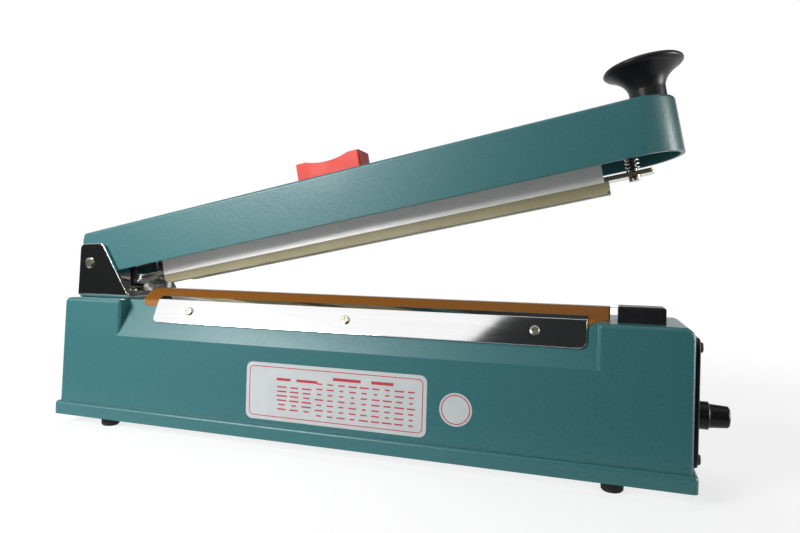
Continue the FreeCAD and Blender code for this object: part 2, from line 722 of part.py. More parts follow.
def arm():
    """The arm casting with its bushes, handle knob, bar guides, springs and rod pin."""
    body = arm_solid(0).cut(arm_solid(arm_wall))
    for u in (guide_left, guide_right):
        body = body.fuse(rod(boss_radius, at_arm(u, 0, boss_bottom), Z, roof_under - boss_bottom + 1))
    body = body.cut(arm_block(slot_start, slot_end, -slot_half, slot_half, 0, arm_top + 1))
    for u in (guide_left, guide_right):
        body = body.cut(rod(small_screw + running_gap, at_arm(u, 0, boss_bottom - 1), Z, 12.0))
    bush_radius = bolt_radius + running_gap + bush_wall
    body = body.cut(rod(bush_radius, at_arm(0, -60, 0), Y, 120))
    body = body.cut(rod(pin_radius + running_gap, at_arm(rod_u(), -60, rod_top_w), Y, 120))
    body = body.cut(rod(stud_radius + running_gap, at_arm(knob_at, 0, 0), Z, 60))
    keep("arm_casting", on_arm(body.removeSplitter()))
    bush = rod(bush_radius, at_arm(0, -arm_half, 0), Y, arm_wall + 1.0)
    bush = bush.fuse(rod(bush_radius + 1.5, at_arm(0, -arm_half - bush_flange, 0), Y, bush_flange))
    bush = bush.cut(rod(bolt_radius + running_gap, at_arm(0, -60, 0), Y, 120))
    keep("arm_bushes", on_arm(group(both_sides(bush))))
    keep("rod_pin", on_arm(rod(pin_radius, at_arm(rod_u(), -arm_half, rod_top_w), Y, 2 * arm_half)))
    stem = list(knob_outline)
    lines = [Part.makePolygon([Vector(r, 0, h) for r, h in ((0, 0), stem[0], stem[1])])]
    for points in (stem[1:], knob_rim_outline, (knob_rim_outline[-1], (0, knob_height))):
        curve = Part.BSplineCurve()
        curve.interpolate([Vector(r, 0, h) for r, h in points])
        lines.append(curve.toShape())
    lines.append(Part.makePolygon([Vector(0, 0, knob_height), Vector(0, 0, 0)]))
    edges = [edge for line in lines for edge in line.Edges]
    knob = Part.Face(Part.Wire(edges)).revolve(Vector(0, 0, 0), Z, 360)
    knob = place(knob, at_arm(knob_at, 0, arm_top), Z)
    stud_hole = rod(stud_radius, at_arm(knob_at, 0, arm_top - 1), Z, stud_reach + 1)
    keep("handle_knob", on_arm(knob.cut(stud_hole)))
    stud = rod(stud_radius, at_arm(knob_at, 0, roof_under), Z, arm_roof + stud_reach)
    stud = stud.fuse(hex_nut(at_arm(knob_at, 0, roof_under - 4.0), Z, stud_radius, 4.0))
    stud = stud.fuse(rod(stud_radius, at_arm(knob_at, 0, roof_under - 4.0), Z, 4.0))
    keep("knob_stud", on_arm(stud.removeSplitter()))
    guides = []
    springs = []
    tongue_top = bar_bottom + 0.7 + tongue_thickness
    for u in (guide_left, guide_right):
        head_top = bar_bottom + 0.7 - running_gap
        guide = rod(guide_radius, at_arm(u, 0, head_top), Z, boss_bottom - head_top)
        guide = guide.fuse(rod(small_screw, at_arm(u, 0, boss_bottom), Z, 9.0))
        guide = guide.fuse(rod(guide_head_radius, at_arm(u, 0, head_top - guide_head), Z, guide_head))
        slot = arm_block(u - 5, u + 5, -0.4, 0.4, head_top - guide_head - 1, head_top - guide_head + 1.0)
        guides.append(guide.cut(slot))
        length = boss_bottom - tongue_top
        seat = at_arm(u, 0, tongue_top)
        springs.append(coil_spring(seat, Z, bar_spring_radius, bar_spring_wire, length, 5))
    keep("bar_guide_screws", on_arm(group(guides)))
    keep("bar_springs", on_arm(group(springs)))


def rod_u():
    """How far along the closed arm the lift rod's pin sits, to stand over the rod when open."""
    tilt = math.radians(open_angle)
    return (rod_x - pivot.x + rod_top_w * math.sin(tilt)) / math.cos(tilt)


def press_bar():
    """The sprung pressing bar with its rubber strips and end tongues."""
    bar = arm_block(bar_start, bar_end, -bar_half, bar_half, bar_bottom, bar_top)
    bar = bar.makeFillet(1.0, edges_along(bar, X, lambda p: p.z > pivot.z + bar_top - 0.01))
    bar = bar.cut(arm_block(bar_slot_start, bar_slot_end, -blade_slot_half, blade_slot_half, -40, 0))
    low = bar_bottom + 0.7
    high = low + tongue_thickness
    spans = ((tongue_left, bar_start + tongue_overlap), (bar_end - tongue_overlap, tongue_right))
    tongues = []
    screws = []
    for (u0, u1), guide, inside in zip(spans, (guide_left, guide_right), (bar_start + 5, bar_end - 5)):
        side = tongue_half + clear_gap
        bar = bar.cut(arm_block(u0 - 1, u1 + clear_gap, -side, side, bar_bottom - 1, high))
        tongue = arm_block(u0, u1, -tongue_half, tongue_half, low, high)
        tip = pivot.x + (u0 if guide == guide_left else u1)
        outer = [e for e in edges_along(tongue, Z) if abs(e.CenterOfMass.x - tip) < 0.1]
        tongue = tongue.makeFillet(2.5, outer)
        tongue = tongue.cut(rod(guide_radius + clear_gap, at_arm(guide, 0, -40), Z, 40))
        for y in (-3.8, 3.8):
            cone = Part.makeCone(2.8, small_screw, 1.4, Vector(*at_arm(inside, y, low)), Z)
            screw = cone.fuse(rod(small_screw, at_arm(inside, y, low + 1.4), Z, 6.0))
            hole = rod(small_screw + running_gap, at_arm(inside, y, low), Z, 8.0)
            seat = Part.makeCone(2.8, small_screw, 1.4, Vector(*at_arm(inside, y, low)), Z)
            tongue = tongue.cut(seat).cut(hole)
            bar = bar.cut(hole)
            screws.append(screw)
        tongues.append(tongue)
    keep("press_bar", on_arm(bar.removeSplitter()))
    keep("bar_tongues", on_arm(group(tongues)))
    keep("tongue_screws", on_arm(group(screws)))
    inner = bar_half - strip_width
    end = bar_end + strip_over
    front = arm_block(bar_start, end, -bar_half, -inner, strip_bottom, bar_bottom)
    lower_end = edges_along(front, Y, lambda p: p.z < pivot.z + strip_bottom + 0.1)
    keep("front_silicone", on_arm(front.makeChamfer(strip_chamfer, lower_end)))
    rear = arm_block(rear_strip_start, end, inner, bar_half, strip_bottom, bar_bottom)
    keep("rear_silicone", on_arm(rear))


def cutter():
    """The sliding cutter: grip, holder under the roof, blade and blade screw."""
    middle = (grip_left + grip_right) / 2
    grip = arm_block(grip_left, grip_right, -grip_half, grip_half, arm_top + clear_gap, grip_top)
    chord = (grip_right - grip_left - 16.0) / 2
    radius = (chord * chord + grip_dip * grip_dip) / (2 * grip_dip)
    grip = grip.cut(rod(radius, at_arm(middle, -30, grip_top - grip_dip + radius), Y, 60))
    grip = grip.makeFillet(1.5, edges_along(grip, Z))
    neck_top = arm_top + 8.0
    pocket = arm_block(neck_left, neck_right, -neck_half, neck_half, arm_top, neck_top)
    keep("cutter_grip", on_arm(grip.cut(pocket)))
    holder_top = roof_under - clear_gap
    holder = arm_block(grip_left + 2, grip_right - 2, -holder_half, holder_half, holder_bottom, holder_top)
    holder = holder.fuse(arm_block(neck_left, neck_right, -neck_half, neck_half, holder_top, neck_top))
    blade_u = (middle - 8.0, middle + 8.0)
    slot = arm_block(blade_u[0], blade_u[1], -blade_half, blade_half, holder_bottom - 1, 13.0)
    hole = rod(small_screw + running_gap, at_arm(middle, -holder_half - 1, 9.0), Y, 14)
    keep("blade_holder", on_arm(holder.cut(slot).cut(hole).removeSplitter()))
    points = [
        at_arm(blade_u[0], -blade_half, 13.0),
        at_arm(blade_u[1], -blade_half, 13.0),
        at_arm(blade_u[1], -blade_half, blade_tip + 8.0),
        at_arm(middle, -blade_half, blade_tip),
        at_arm(blade_u[0], -blade_half, blade_tip + 8.0),
    ]
    keep("cutter_blade", on_arm(prism(points, Y * (2 * blade_half)).cut(hole)))
    keep("blade_screw", on_arm(pan_screw(at_arm(middle, -holder_half, 9.0), Y, 2 * holder_half + 0.5)))


def lift_rod():
    """The lift rod, its collar and spring, the seat strap, and the switch it works."""
    eye_z = pivot.z + rod_u() * math.sin(math.radians(open_angle))
    eye_z += rod_top_w * math.cos(math.radians(open_angle))
    body = rod(rod_radius, (rod_x, 0, rod_end_z), Z, eye_z - rod_end_z)
    eye = block(rod_x - eye_radius, rod_x + eye_radius, -2.5, 2.5, eye_z - eye_radius, eye_z + eye_radius)
    eye = eye.makeFillet(eye_radius * 0.9, edges_along(eye, Y))
    body = body.fuse(eye)
    slack = pin_radius + clear_gap
    for shift in (-0.6, 0.6):
        body = body.cut(rod(slack, (rod_x + shift, -5, eye_z), Y, 10))
    body = body.cut(block(rod_x - 0.6, rod_x + 0.6, -5, 5, eye_z - slack, eye_z + slack))
    keep("lift_rod", body.removeSplitter())
    collar_z = roof_z - clear_gap - collar_height
    collar = rod(collar_radius, (rod_x, 0, collar_z), Z, collar_height)
    keep("rod_collar", collar.cut(rod(rod_radius, (rod_x, 0, collar_z - 1), Z, 10)))
    spring = coil_spring((rod_x, 0, seat_z), Z, lift_spring_radius, lift_spring_wire, collar_z - seat_z, 7)
    keep("lift_spring", spring)
    x0, x1 = rod_x - 8.0, rod_x + 8.0
    leg = [(-24.0, roof_z), (-12.0, roof_z), (-12.0, seat_z), (12.0, seat_z), (12.0, roof_z), (24.0, roof_z)]
    thick = 1.5
    ring = [(-24.0, roof_z - thick), (-12.0 - thick, roof_z - thick), (-12.0 - thick, seat_z - thick)]
    ring += [(12.0 + thick, seat_z - thick), (12.0 + thick, roof_z - thick), (24.0, roof_z - thick)]
    strap = prism([(x0, y, z) for y, z in leg + ring[::-1]], Vector(x1 - x0, 0, 0))
    strap = strap.cut(rod(rod_radius + 0.7, (rod_x, 0, seat_z - 5), Z, 10))
    for y in (-18.0, 18.0):
        strap = strap.cut(screw_hole((rod_x, y, roof_z + 5), Z * -1, 10.0))
    keep("spring_strap", strap)


def switch():
    """The snap switch under the rod on its bracket, with its pivoted lever."""
    x, z = lever_pivot_x, lever_pivot_z
    body = block(x - 16.0, x + 4.0, -3.2, 3.2, z - 17.0, z - 3.0)
    for y0, y1 in ((-3.2, -2.4), (2.4, 3.2)):
        body = body.fuse(block(x - 2.0, x + 2.0, y0, y1, z - 3.0, z + 1.8))
    body = body.fuse(rod(1.0, (x, -3.2, z), Y, 6.4))
    body = body.fuse(rod(1.0, (x - 6.0, 0, z - 3.0), Z, 1.2))
    holes = [(x - 12.0, z - 13.0), (x, z - 13.0)]
    for hole_x, hole_z in holes:
        body = body.cut(screw_hole((hole_x, -3.2, hole_z), Y, 8.0))
    keep("snap_switch", body.removeSplitter())
    eye = rod(1.9, (x, -2.1, z), Y, 4.2)
    blade = block(rod_x - 4.0, x, -2.1, 2.1, z + 1.1, z + 1.9)
    lever = eye.fuse(blade).cut(rod(1.0 + running_gap, (x, -3, z), Y, 6))
    keep("switch_lever", lever.removeSplitter())
    bracket = block(x - 16.0, x + 4.0, 3.2, 4.7, cover_top, z - 3.0)
    bracket = bracket.fuse(block(x - 16.0, x + 4.0, 4.7, 18.0, cover_top, cover_top + 1.5))
    fix_x, fix_y = fixing_places()[0]
    bracket = bracket.cut(screw_hole((fix_x, fix_y, cover_top + 3), Z * -1, 6.0))
    for hole_x, hole_z in holes:
        bracket = bracket.cut(screw_hole((hole_x, -3.2, hole_z), Y, 8.0))
    keep("switch_bracket", bracket.removeSplitter())
    keep("switch_screws", group(pan_screw((a, -3.2, b), Y, 7.9) for a, b in holes))


def inner_parts():
    """Transformer, timer board and mains terminal block on the sheet bottom, and the cord inlet."""
    x, z = -100.0, cover_top
    core = block(x - 30.0, x + 30.0, -16.0, 16.0, z, z + 50.0)
    windows = [block(a, b, -20, 20, z + 10.0, z + 40.0) for a, b in ((x - 20, x - 10), (x + 10, x + 20))]
    for window in windows:
        core = core.cut(window)
    keep("transformer_core", core)
    coil = block(x - 19.5, x + 19.5, -25.0, 25.0, z + 10.5, z + 39.5)
    coil = coil.makeFillet(5.0, edges_along(coil, Z))
    side_cut = block(x - 10.0, x + 10.0, -16.0, 16.0, z, z + 50.0)
    ends = [block(a, b, -16.0, 16.0, z, z + 60.0) for a, b in ((x - 40, x - 20), (x + 20, x + 40))]
    for tool in [side_cut] + ends:
        coil = coil.cut(tool)
    keep("transformer_coil", coil)
    strap = block(x - 31.2, x + 31.2, -12.0, 12.0, cover_top, z + 51.2)
    strap = strap.cut(block(x - 30.0, x + 30.0, -13.0, 13.0, cover_top - 1, z + 50.0))
    foot_top = cover_top + 1.5
    for x0, x1 in ((x - 46.0, x - 31.2), (x + 31.2, x + 46.0)):
        strap = strap.fuse(block(x0, x1, -12.0, 12.0, cover_top, foot_top))
    fixings = []
    for fix_x, fix_y in fixing_places()[:3]:
        point = (fix_x, fix_y, foot_top)
        strap = strap.cut(screw_hole(point, Z * -1, 4.0))
        fixings.append(pan_screw(point, Z * -1, 2.6))
    keep("transformer_strap", strap.removeSplitter())
    board_z = cover_top + 8.0
    board = block(74.0, 154.0, -27.0, 27.0, board_z, board_z + 1.6)
    standoffs = []
    for fix_x, fix_y in fixing_places()[3:]:
        board = board.cut(screw_hole((fix_x, fix_y, board_z + 2), Z * -1, 6.0))
        standoff = rod(3.0, (fix_x, fix_y, cover_top), Z, 8.0)
        bore = rod(small_screw + running_gap, (fix_x, fix_y, cover_top - 1), Z, 10.0)
        standoffs.append(standoff.cut(bore))
        fixings.append(pan_screw((fix_x, fix_y, board_z + 1.6), Z * -1, 10.5))
    keep("timer_board", board)
    keep("board_standoffs", group(standoffs))
    top = board_z + 1.6
    relay = block(90.0, 110.0, -20.0, -4.0, top, top + 16.0)
    capacitor = rod(5.0, (126.0, -12.0, top), Z, 16.0)
    regulator = block(92.0, 104.0, 8.0, 12.5, top, top + 15.0)
    sockets = block(118.0, 138.0, 12.0, 20.0, top, top + 10.0)
    keep("board_parts", group([relay, capacitor, regulator, sockets]))
    keep("fixing_screws", group(fixings))
    left = right_x - 38.5
    mains = block(left, left + 22.0, 2.0, 16.0, cover_top, cover_top + 14.0)
    for step in range(3):
        mains = mains.cut(rod(1.8, (left + 3.7 + 7.2 * step, 9.0, cover_top + 8.0), Z, 10.0))
    keep("mains_terminal", mains)
    flange_at = half_depth - gland_y
    gland_at = (gland_x, gland_y, low_z + gland_z)
    outline = [(gland_bore, 0), (gland_bore + 2.0, 0), (gland_bore + 2.0, flange_at)]
    outline += [(gland_bore + 4.2, flange_at), (gland_bore + 4.2, gland_length - 0.8)]
    outline += [(gland_bore + 3.4, gland_length), (gland_bore, gland_length)]
    gland = turned(outline, gland_at, Y)
    keep("cord_gland", gland)


def main():
    """Builds every piece and writes one STEP file for each node."""
    keep("base_casting", base_casting())
    feet_and_cover()
    end_panel()
    sealing_rail()
    terminals()
    hinge()
    arm()
    press_bar()
    cutter()
    lift_rod()
    switch()
    inner_parts()
    os.makedirs("parts", exist_ok=True)
    for name, shape in parts.items():
        print(name, round(shape.Volume, 1), len(shape.Solids), shape.isValid())
        shape.exportStep("parts/" + name + ".step")


main()
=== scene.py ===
"""Looks of a hand impulse bag sealer: hammered teal castings, polished bracket and clamp strip,
woven golden cloth over the heating ribbon, satin pressing bar and a red cutter grip.

Everything is in metres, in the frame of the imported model, with +X from the hinge to the timer knob.
"""

import bmesh
import bpy
import json
import logging
import math

from dataclasses import dataclass, field
from enum import Enum
from mathutils import Matrix, Vector


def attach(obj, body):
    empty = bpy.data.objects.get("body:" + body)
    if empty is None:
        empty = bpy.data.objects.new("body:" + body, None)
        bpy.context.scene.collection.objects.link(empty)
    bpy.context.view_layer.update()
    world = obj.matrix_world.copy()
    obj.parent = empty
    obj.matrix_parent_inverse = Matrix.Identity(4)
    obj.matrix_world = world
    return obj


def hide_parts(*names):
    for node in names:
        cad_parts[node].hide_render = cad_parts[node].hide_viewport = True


log = logging.getLogger("bag_sealer")

Pair = tuple[float, float]
Triple = tuple[float, float, float]
GroupParts = tuple[bpy.types.NodeTree, bpy.types.Node, bpy.types.Node, bpy.types.Node]

MM = 0.001
WHITE = (1.0, 1.0, 1.0, 1.0)

# Places of the sockets whose names repeat in their node.
MIX_FIRST_COLOUR = 6
MIX_SECOND_COLOUR = 7
MIX_COLOUR_OUT = 2
RANDOM_LOWEST = 2
RANDOM_HIGHEST = 3
RANDOM_NUMBER_OUT = 1

ROUGH_SPREAD = 0.08
SMOOTHEST = 0.02
ROUGHEST = 1.0
COAT_ROUGHNESS = 0.12
EDGE_SAMPLES = 6
PRINT_SHADE = 0.93


class Grain(Enum):
    """The kind of fine surface relief a finish has."""

    HAMMERED = "hammered"
    MOULDED = "moulded"
    BRUSHED = "brushed"
    POLISHED = "polished"
    RUBBERY = "rubbery"
    WOVEN = "woven"
    LAMINATED = "laminated"


GRAIN_GROUPS: dict[Grain, str] = {
    Grain.HAMMERED: "hammer_enamel",
    Grain.MOULDED: "fine_grain",
    Grain.BRUSHED: "drawn_lines",
    Grain.POLISHED: "drawn_lines",
    Grain.RUBBERY: "fine_grain",
    Grain.WOVEN: "plain_weave",
    Grain.LAMINATED: "drawn_lines",
}


@dataclass(frozen=True)
class Finish:
    """One surface finish, with its colours and how it takes light.

    Args:
        slot: material slot of the record it belongs to.
        colour: linear base colour.
        second: linear colour that the grain mixes in.
        rough: base roughness.
        metallic: 1 for bare metal.
        coat: clear coat weight.
        grain: kind of relief.
        pitch: size of one grain in metres.
        relief: height of the relief in metres.
        specular: strength of the plain reflection, 0.5 for most surfaces.
        edge: radius in metres over which sharp edges catch the light, 0 for none.
    """

    slot: str
    colour: Triple
    second: Triple
    rough: float = 0.4
    metallic: float = 0.0
    coat: float = 0.0
    grain: Grain = Grain.MOULDED
    pitch: float = 0.001
    relief: float = 0.00002
    specular: float = 0.5
    edge: float = 0.0


FINISHES: tuple[Finish, ...] = (
    Finish(
        "hammered_teal", (0.033, 0.154, 0.165), (0.028, 0.139, 0.150),
        rough=0.36, coat=0.08, grain=Grain.HAMMERED, pitch=0.0009, relief=0.00006, specular=0.43, edge=0.0006,
    ),
    Finish(
        "black_plastic", (0.012, 0.012, 0.013), (0.016, 0.016, 0.017),
        rough=0.34, grain=Grain.MOULDED, pitch=0.0006, relief=0.00002, specular=0.2,
    ),
    Finish(
        "red_plastic", (0.84, 0.064, 0.044), (0.80, 0.056, 0.038),
        rough=0.42, grain=Grain.MOULDED, pitch=0.0012, relief=0.00001, specular=0.25,
    ),
    Finish(
        "amber_lens", (0.75, 0.16, 0.03), (0.60, 0.09, 0.02),
        rough=0.12, coat=0.8, grain=Grain.MOULDED, pitch=0.0008, relief=0.00001,
    ),
    Finish(
        "rubber", (0.012, 0.012, 0.012), (0.019, 0.019, 0.018),
        rough=0.72, grain=Grain.RUBBERY, pitch=0.0007, relief=0.00003, specular=0.3,
    ),
    Finish(
        "gland_rubber", (0.015, 0.015, 0.015), (0.024, 0.024, 0.023),
        rough=0.66, grain=Grain.RUBBERY, pitch=0.0006, relief=0.00003,
    ),
    Finish(
        "polished_steel", (0.94, 0.94, 0.94), (0.90, 0.90, 0.91),
        rough=0.06, metallic=1, grain=Grain.POLISHED, pitch=0.004, relief=0.000004, edge=0.0006,
    ),
    Finish(
        "plated_steel", (0.50, 0.47, 0.39), (0.42, 0.39, 0.32),
        rough=0.22, metallic=1, grain=Grain.BRUSHED, pitch=0.0008, relief=0.00001,
    ),
    Finish(
        "blackened_steel", (0.030, 0.030, 0.032), (0.045, 0.044, 0.043),
        rough=0.42, metallic=0.6, grain=Grain.BRUSHED, pitch=0.0006, relief=0.00001,
    ),
    Finish(
        "spring_steel", (0.42, 0.41, 0.40), (0.34, 0.33, 0.33),
        rough=0.3, metallic=1, grain=Grain.BRUSHED, pitch=0.0005, relief=0.00001,
    ),
    Finish(
        "zinc_sheet", (0.58, 0.59, 0.60), (0.48, 0.49, 0.51),
        rough=0.42, metallic=1, grain=Grain.BRUSHED, pitch=0.006, relief=0.00001,
    ),
    Finish(
        "satin_aluminium", (0.86, 0.86, 0.85), (0.80, 0.80, 0.80),
        rough=0.34, metallic=1, grain=Grain.BRUSHED, pitch=0.0010, relief=0.000008,
    ),
    Finish(
        "bar_aluminium", (0.97, 0.97, 0.95), (0.94, 0.94, 0.92),
        rough=0.38, metallic=0.28, grain=Grain.BRUSHED, pitch=0.0012, relief=0.000008,
    ),
    Finish(
        "nickel", (0.50, 0.48, 0.43), (0.42, 0.39, 0.34),
        rough=0.14, metallic=1, grain=Grain.BRUSHED, pitch=0.0007, relief=0.000006,
    ),
    Finish(
        "resistance_ribbon", (0.48, 0.44, 0.38), (0.38, 0.33, 0.28),
        rough=0.33, metallic=1, grain=Grain.BRUSHED, pitch=0.0009, relief=0.000004,
    ),
    Finish(
        "glass_cloth", (0.35, 0.135, 0.020), (0.25, 0.088, 0.012),
        rough=0.42, grain=Grain.WOVEN, pitch=0.0009, relief=0.00005, specular=0.2,
    ),
    Finish(
        "silicone", (0.33, 0.30, 0.18), (0.29, 0.265, 0.15),
        rough=0.46, grain=Grain.RUBBERY, pitch=0.0016, relief=0.00002, specular=0.3,
    ),
    Finish(
        "insulator", (0.62, 0.60, 0.54), (0.53, 0.51, 0.46),
        rough=0.6, grain=Grain.MOULDED, pitch=0.0008, relief=0.00002,
    ),
    Finish(
        "bronze", (0.52, 0.33, 0.13), (0.42, 0.25, 0.09),
        rough=0.3, metallic=1, grain=Grain.BRUSHED, pitch=0.0007, relief=0.00001,
    ),
    Finish(
        "holder_plastic", (0.020, 0.020, 0.021), (0.030, 0.030, 0.031),
        rough=0.5, grain=Grain.MOULDED, pitch=0.0007, relief=0.00002,
    ),
    Finish(
        "blade_steel", (0.66, 0.67, 0.69), (0.56, 0.57, 0.60),
        rough=0.18, metallic=1, grain=Grain.BRUSHED, pitch=0.0006, relief=0.000004,
    ),
    Finish(
        "core_steel", (0.13, 0.13, 0.14), (0.07, 0.07, 0.075),
        rough=0.5, metallic=0.8, grain=Grain.LAMINATED, pitch=0.0005, relief=0.00008,
    ),
    Finish(
        "coil_wrap", (0.62, 0.42, 0.05), (0.52, 0.34, 0.04),
        rough=0.35, coat=0.2, grain=Grain.MOULDED, pitch=0.004, relief=0.00006,
    ),
    Finish(
        "circuit_board", (0.030, 0.17, 0.060), (0.020, 0.13, 0.045),
        rough=0.35, coat=0.3, grain=Grain.MOULDED, pitch=0.003, relief=0.00002,
    ),
    Finish(
        "board_parts", (0.05, 0.06, 0.10), (0.04, 0.045, 0.08),
        rough=0.35, grain=Grain.MOULDED, pitch=0.001, relief=0.00001,
    ),
    Finish(
        "white_nylon", (0.72, 0.72, 0.68), (0.64, 0.64, 0.60),
        rough=0.5, grain=Grain.MOULDED, pitch=0.001, relief=0.00001,
    ),
)


def link(tree: bpy.types.NodeTree, start: bpy.types.NodeSocket, end: bpy.types.NodeSocket) -> None:
    """Joins two sockets of a node tree."""
    tree.links.new(start, end)


def math_node(
    tree: bpy.types.NodeTree, operation: str, first: float | None = None, second: float | None = None
) -> bpy.types.Node:
    """A math node with the numbers that aren't linked.

    Args:
        tree: the node tree.
        operation: name of the operation.
        first: first number, or None where it is linked.
        second: second number, or None where it is linked.

    Returns:
        The new node.
    """
    node = tree.nodes.new("ShaderNodeMath")
    node.operation = operation
    for index, value in enumerate((first, second)):
        if value is not None:
            node.inputs[index].default_value = value
    return node


def noise_node(
    tree: bpy.types.NodeTree, place: bpy.types.NodeSocket, scale: bpy.types.Node,
    detail: float = 2.0, rough: float = 0.5,
) -> bpy.types.Node:
    """A noise pattern.

    Args:
        tree: the node tree.
        place: socket with the place it is read at.
        scale: node that gives its scale.
        detail: how many finer layers it has.
        rough: how strong the finer layers are.

    Returns:
        The new node.
    """
    noise = tree.nodes.new("ShaderNodeTexNoise")
    noise.inputs["Detail"].default_value = detail
    noise.inputs["Roughness"].default_value = rough
    link(tree, place, noise.inputs["Vector"])
    link(tree, scale.outputs[0], noise.inputs["Scale"])
    return noise


def ramp(tree: bpy.types.NodeTree, dark: float, light: float) -> bpy.types.Node:
    """A ramp from black to white.

    Args:
        tree: the node tree.
        dark: where black ends.
        light: where white starts.

    Returns:
        The new node.
    """
    node = tree.nodes.new("ShaderNodeValToRGB")
    for element, place, grey in zip(node.color_ramp.elements, (dark, light), (0.0, 1.0)):
        element.position = place
        element.color = (grey, grey, grey, 1.0)
    return node


@dataclass
class FinishShop:
    """Builds the shared shader groups and one material for each finish."""

    made: dict[str, bpy.types.Material] = field(default_factory=dict)
    groups: dict[str, bpy.types.NodeTree] = field(default_factory=dict)

    def group(self, name: str, pitch: float, turn: float = 1.0) -> GroupParts:
        """Starts a shader group with a pitch as its input and a mask and a height as its outputs.

        Args:
            name: name of the group.
            pitch: size of one grain where a material gives none.
            turn: how far the pattern runs on in one pitch.

        Returns:
            The tree, its input node, its output node and the node with the pattern's scale.
        """
        tree = bpy.data.node_groups.new(name, "ShaderNodeTree")
        tree.interface.new_socket("Vector", in_out="INPUT", socket_type="NodeSocketVector")
        size = tree.interface.new_socket("Pitch", in_out="INPUT", socket_type="NodeSocketFloat")
        size.default_value = pitch
        for output in ("Mask", "Height"):
            tree.interface.new_socket(output, in_out="OUTPUT", socket_type="NodeSocketFloat")
        self.groups[name] = tree
        entry = tree.nodes.new("NodeGroupInput")
        leave = tree.nodes.new("NodeGroupOutput")
        scale = math_node(tree, "DIVIDE", turn)
        link(tree, entry.outputs["Pitch"], scale.inputs[1])
        return tree, entry, leave, scale

    def build_groups(self) -> None:
        """Makes the hammered, fine-grain, drawn-line and weave groups."""
        self.hammered()
        self.fine_grain()
        self.drawn_lines()
        self.weave()

    def hammered(self) -> None:
        """Small rounded dimples of hammer enamel, with a soft mottle."""
        roundness = 0.8
        mottle_scale = 0.6
        dimple_share = 0.7
        tree, entry, leave, scale = self.group("hammer_enamel", 0.0011)
        cells = tree.nodes.new("ShaderNodeTexVoronoi")
        cells.feature = "SMOOTH_F1"
        cells.inputs["Smoothness"].default_value = roundness
        cells.inputs["Randomness"].default_value = 1.0
        link(tree, entry.outputs["Vector"], cells.inputs["Vector"])
        link(tree, scale.outputs[0], cells.inputs["Scale"])
        broader = math_node(tree, "MULTIPLY", second=mottle_scale)
        link(tree, scale.outputs[0], broader.inputs[0])
        noise = noise_node(tree, entry.outputs["Vector"], broader, detail=3.0)
        mottle = ramp(tree, dark=0.40, light=0.64)
        link(tree, noise.outputs["Fac"], mottle.inputs["Fac"])
        both = math_node(tree, "MULTIPLY_ADD", second=dimple_share)
        link(tree, cells.outputs["Distance"], both.inputs[0])
        link(tree, noise.outputs["Fac"], both.inputs[2])
        link(tree, mottle.outputs["Color"], leave.inputs["Mask"])
        link(tree, both.outputs[0], leave.inputs["Height"])

    def fine_grain(self) -> None:
        """Even fine grain of moulded plastic and rubber."""
        patch_scale = 0.08
        tree, entry, leave, scale = self.group("fine_grain", 0.0008)
        broader = math_node(tree, "MULTIPLY", second=patch_scale)
        link(tree, scale.outputs[0], broader.inputs[0])
        fine = noise_node(tree, entry.outputs["Vector"], scale, detail=4.0, rough=0.6)
        broad = noise_node(tree, entry.outputs["Vector"], broader)
        soft = ramp(tree, dark=0.35, light=0.68)
        link(tree, broad.outputs["Fac"], soft.inputs["Fac"])
        link(tree, soft.outputs["Color"], leave.inputs["Mask"])
        link(tree, fine.outputs["Fac"], leave.inputs["Height"])

    def drawn_lines(self) -> None:
        """Long fine lines along X, as rolling or brushing leaves them."""
        stretched = 0.03
        tree, entry, leave, scale = self.group("drawn_lines", 0.0008)
        stretch = tree.nodes.new("ShaderNodeMapping")
        stretch.inputs["Scale"].default_value = (stretched, 1.0, 1.0)
        link(tree, entry.outputs["Vector"], stretch.inputs["Vector"])
        lines = noise_node(tree, stretch.outputs["Vector"], scale, detail=3.0)
        soft = ramp(tree, dark=0.3, light=0.7)
        link(tree, lines.outputs["Fac"], soft.inputs["Fac"])
        link(tree, soft.outputs["Color"], leave.inputs["Mask"])
        link(tree, lines.outputs["Fac"], leave.inputs["Height"])

    def weave(self) -> None:
        """Plain weave of warp and weft, one over one under."""
        tree, entry, leave, scale = self.group("plain_weave", 0.0009, turn=math.pi)
        split = tree.nodes.new("ShaderNodeSeparateXYZ")
        link(tree, entry.outputs["Vector"], split.inputs[0])
        cross = math_node(tree, "MULTIPLY")
        for index, axis in enumerate(("X", "Y")):
            turn = math_node(tree, "MULTIPLY")
            link(tree, split.outputs[axis], turn.inputs[0])
            link(tree, scale.outputs[0], turn.inputs[1])
            wave = math_node(tree, "SINE")
            link(tree, turn.outputs[0], wave.inputs[0])
            link(tree, wave.outputs[0], cross.inputs[index])
        mask = math_node(tree, "MULTIPLY_ADD", second=0.5)
        mask.inputs[2].default_value = 0.5
        link(tree, cross.outputs[0], mask.inputs[0])
        link(tree, mask.outputs[0], leave.inputs["Mask"])
        link(tree, mask.outputs[0], leave.inputs["Height"])

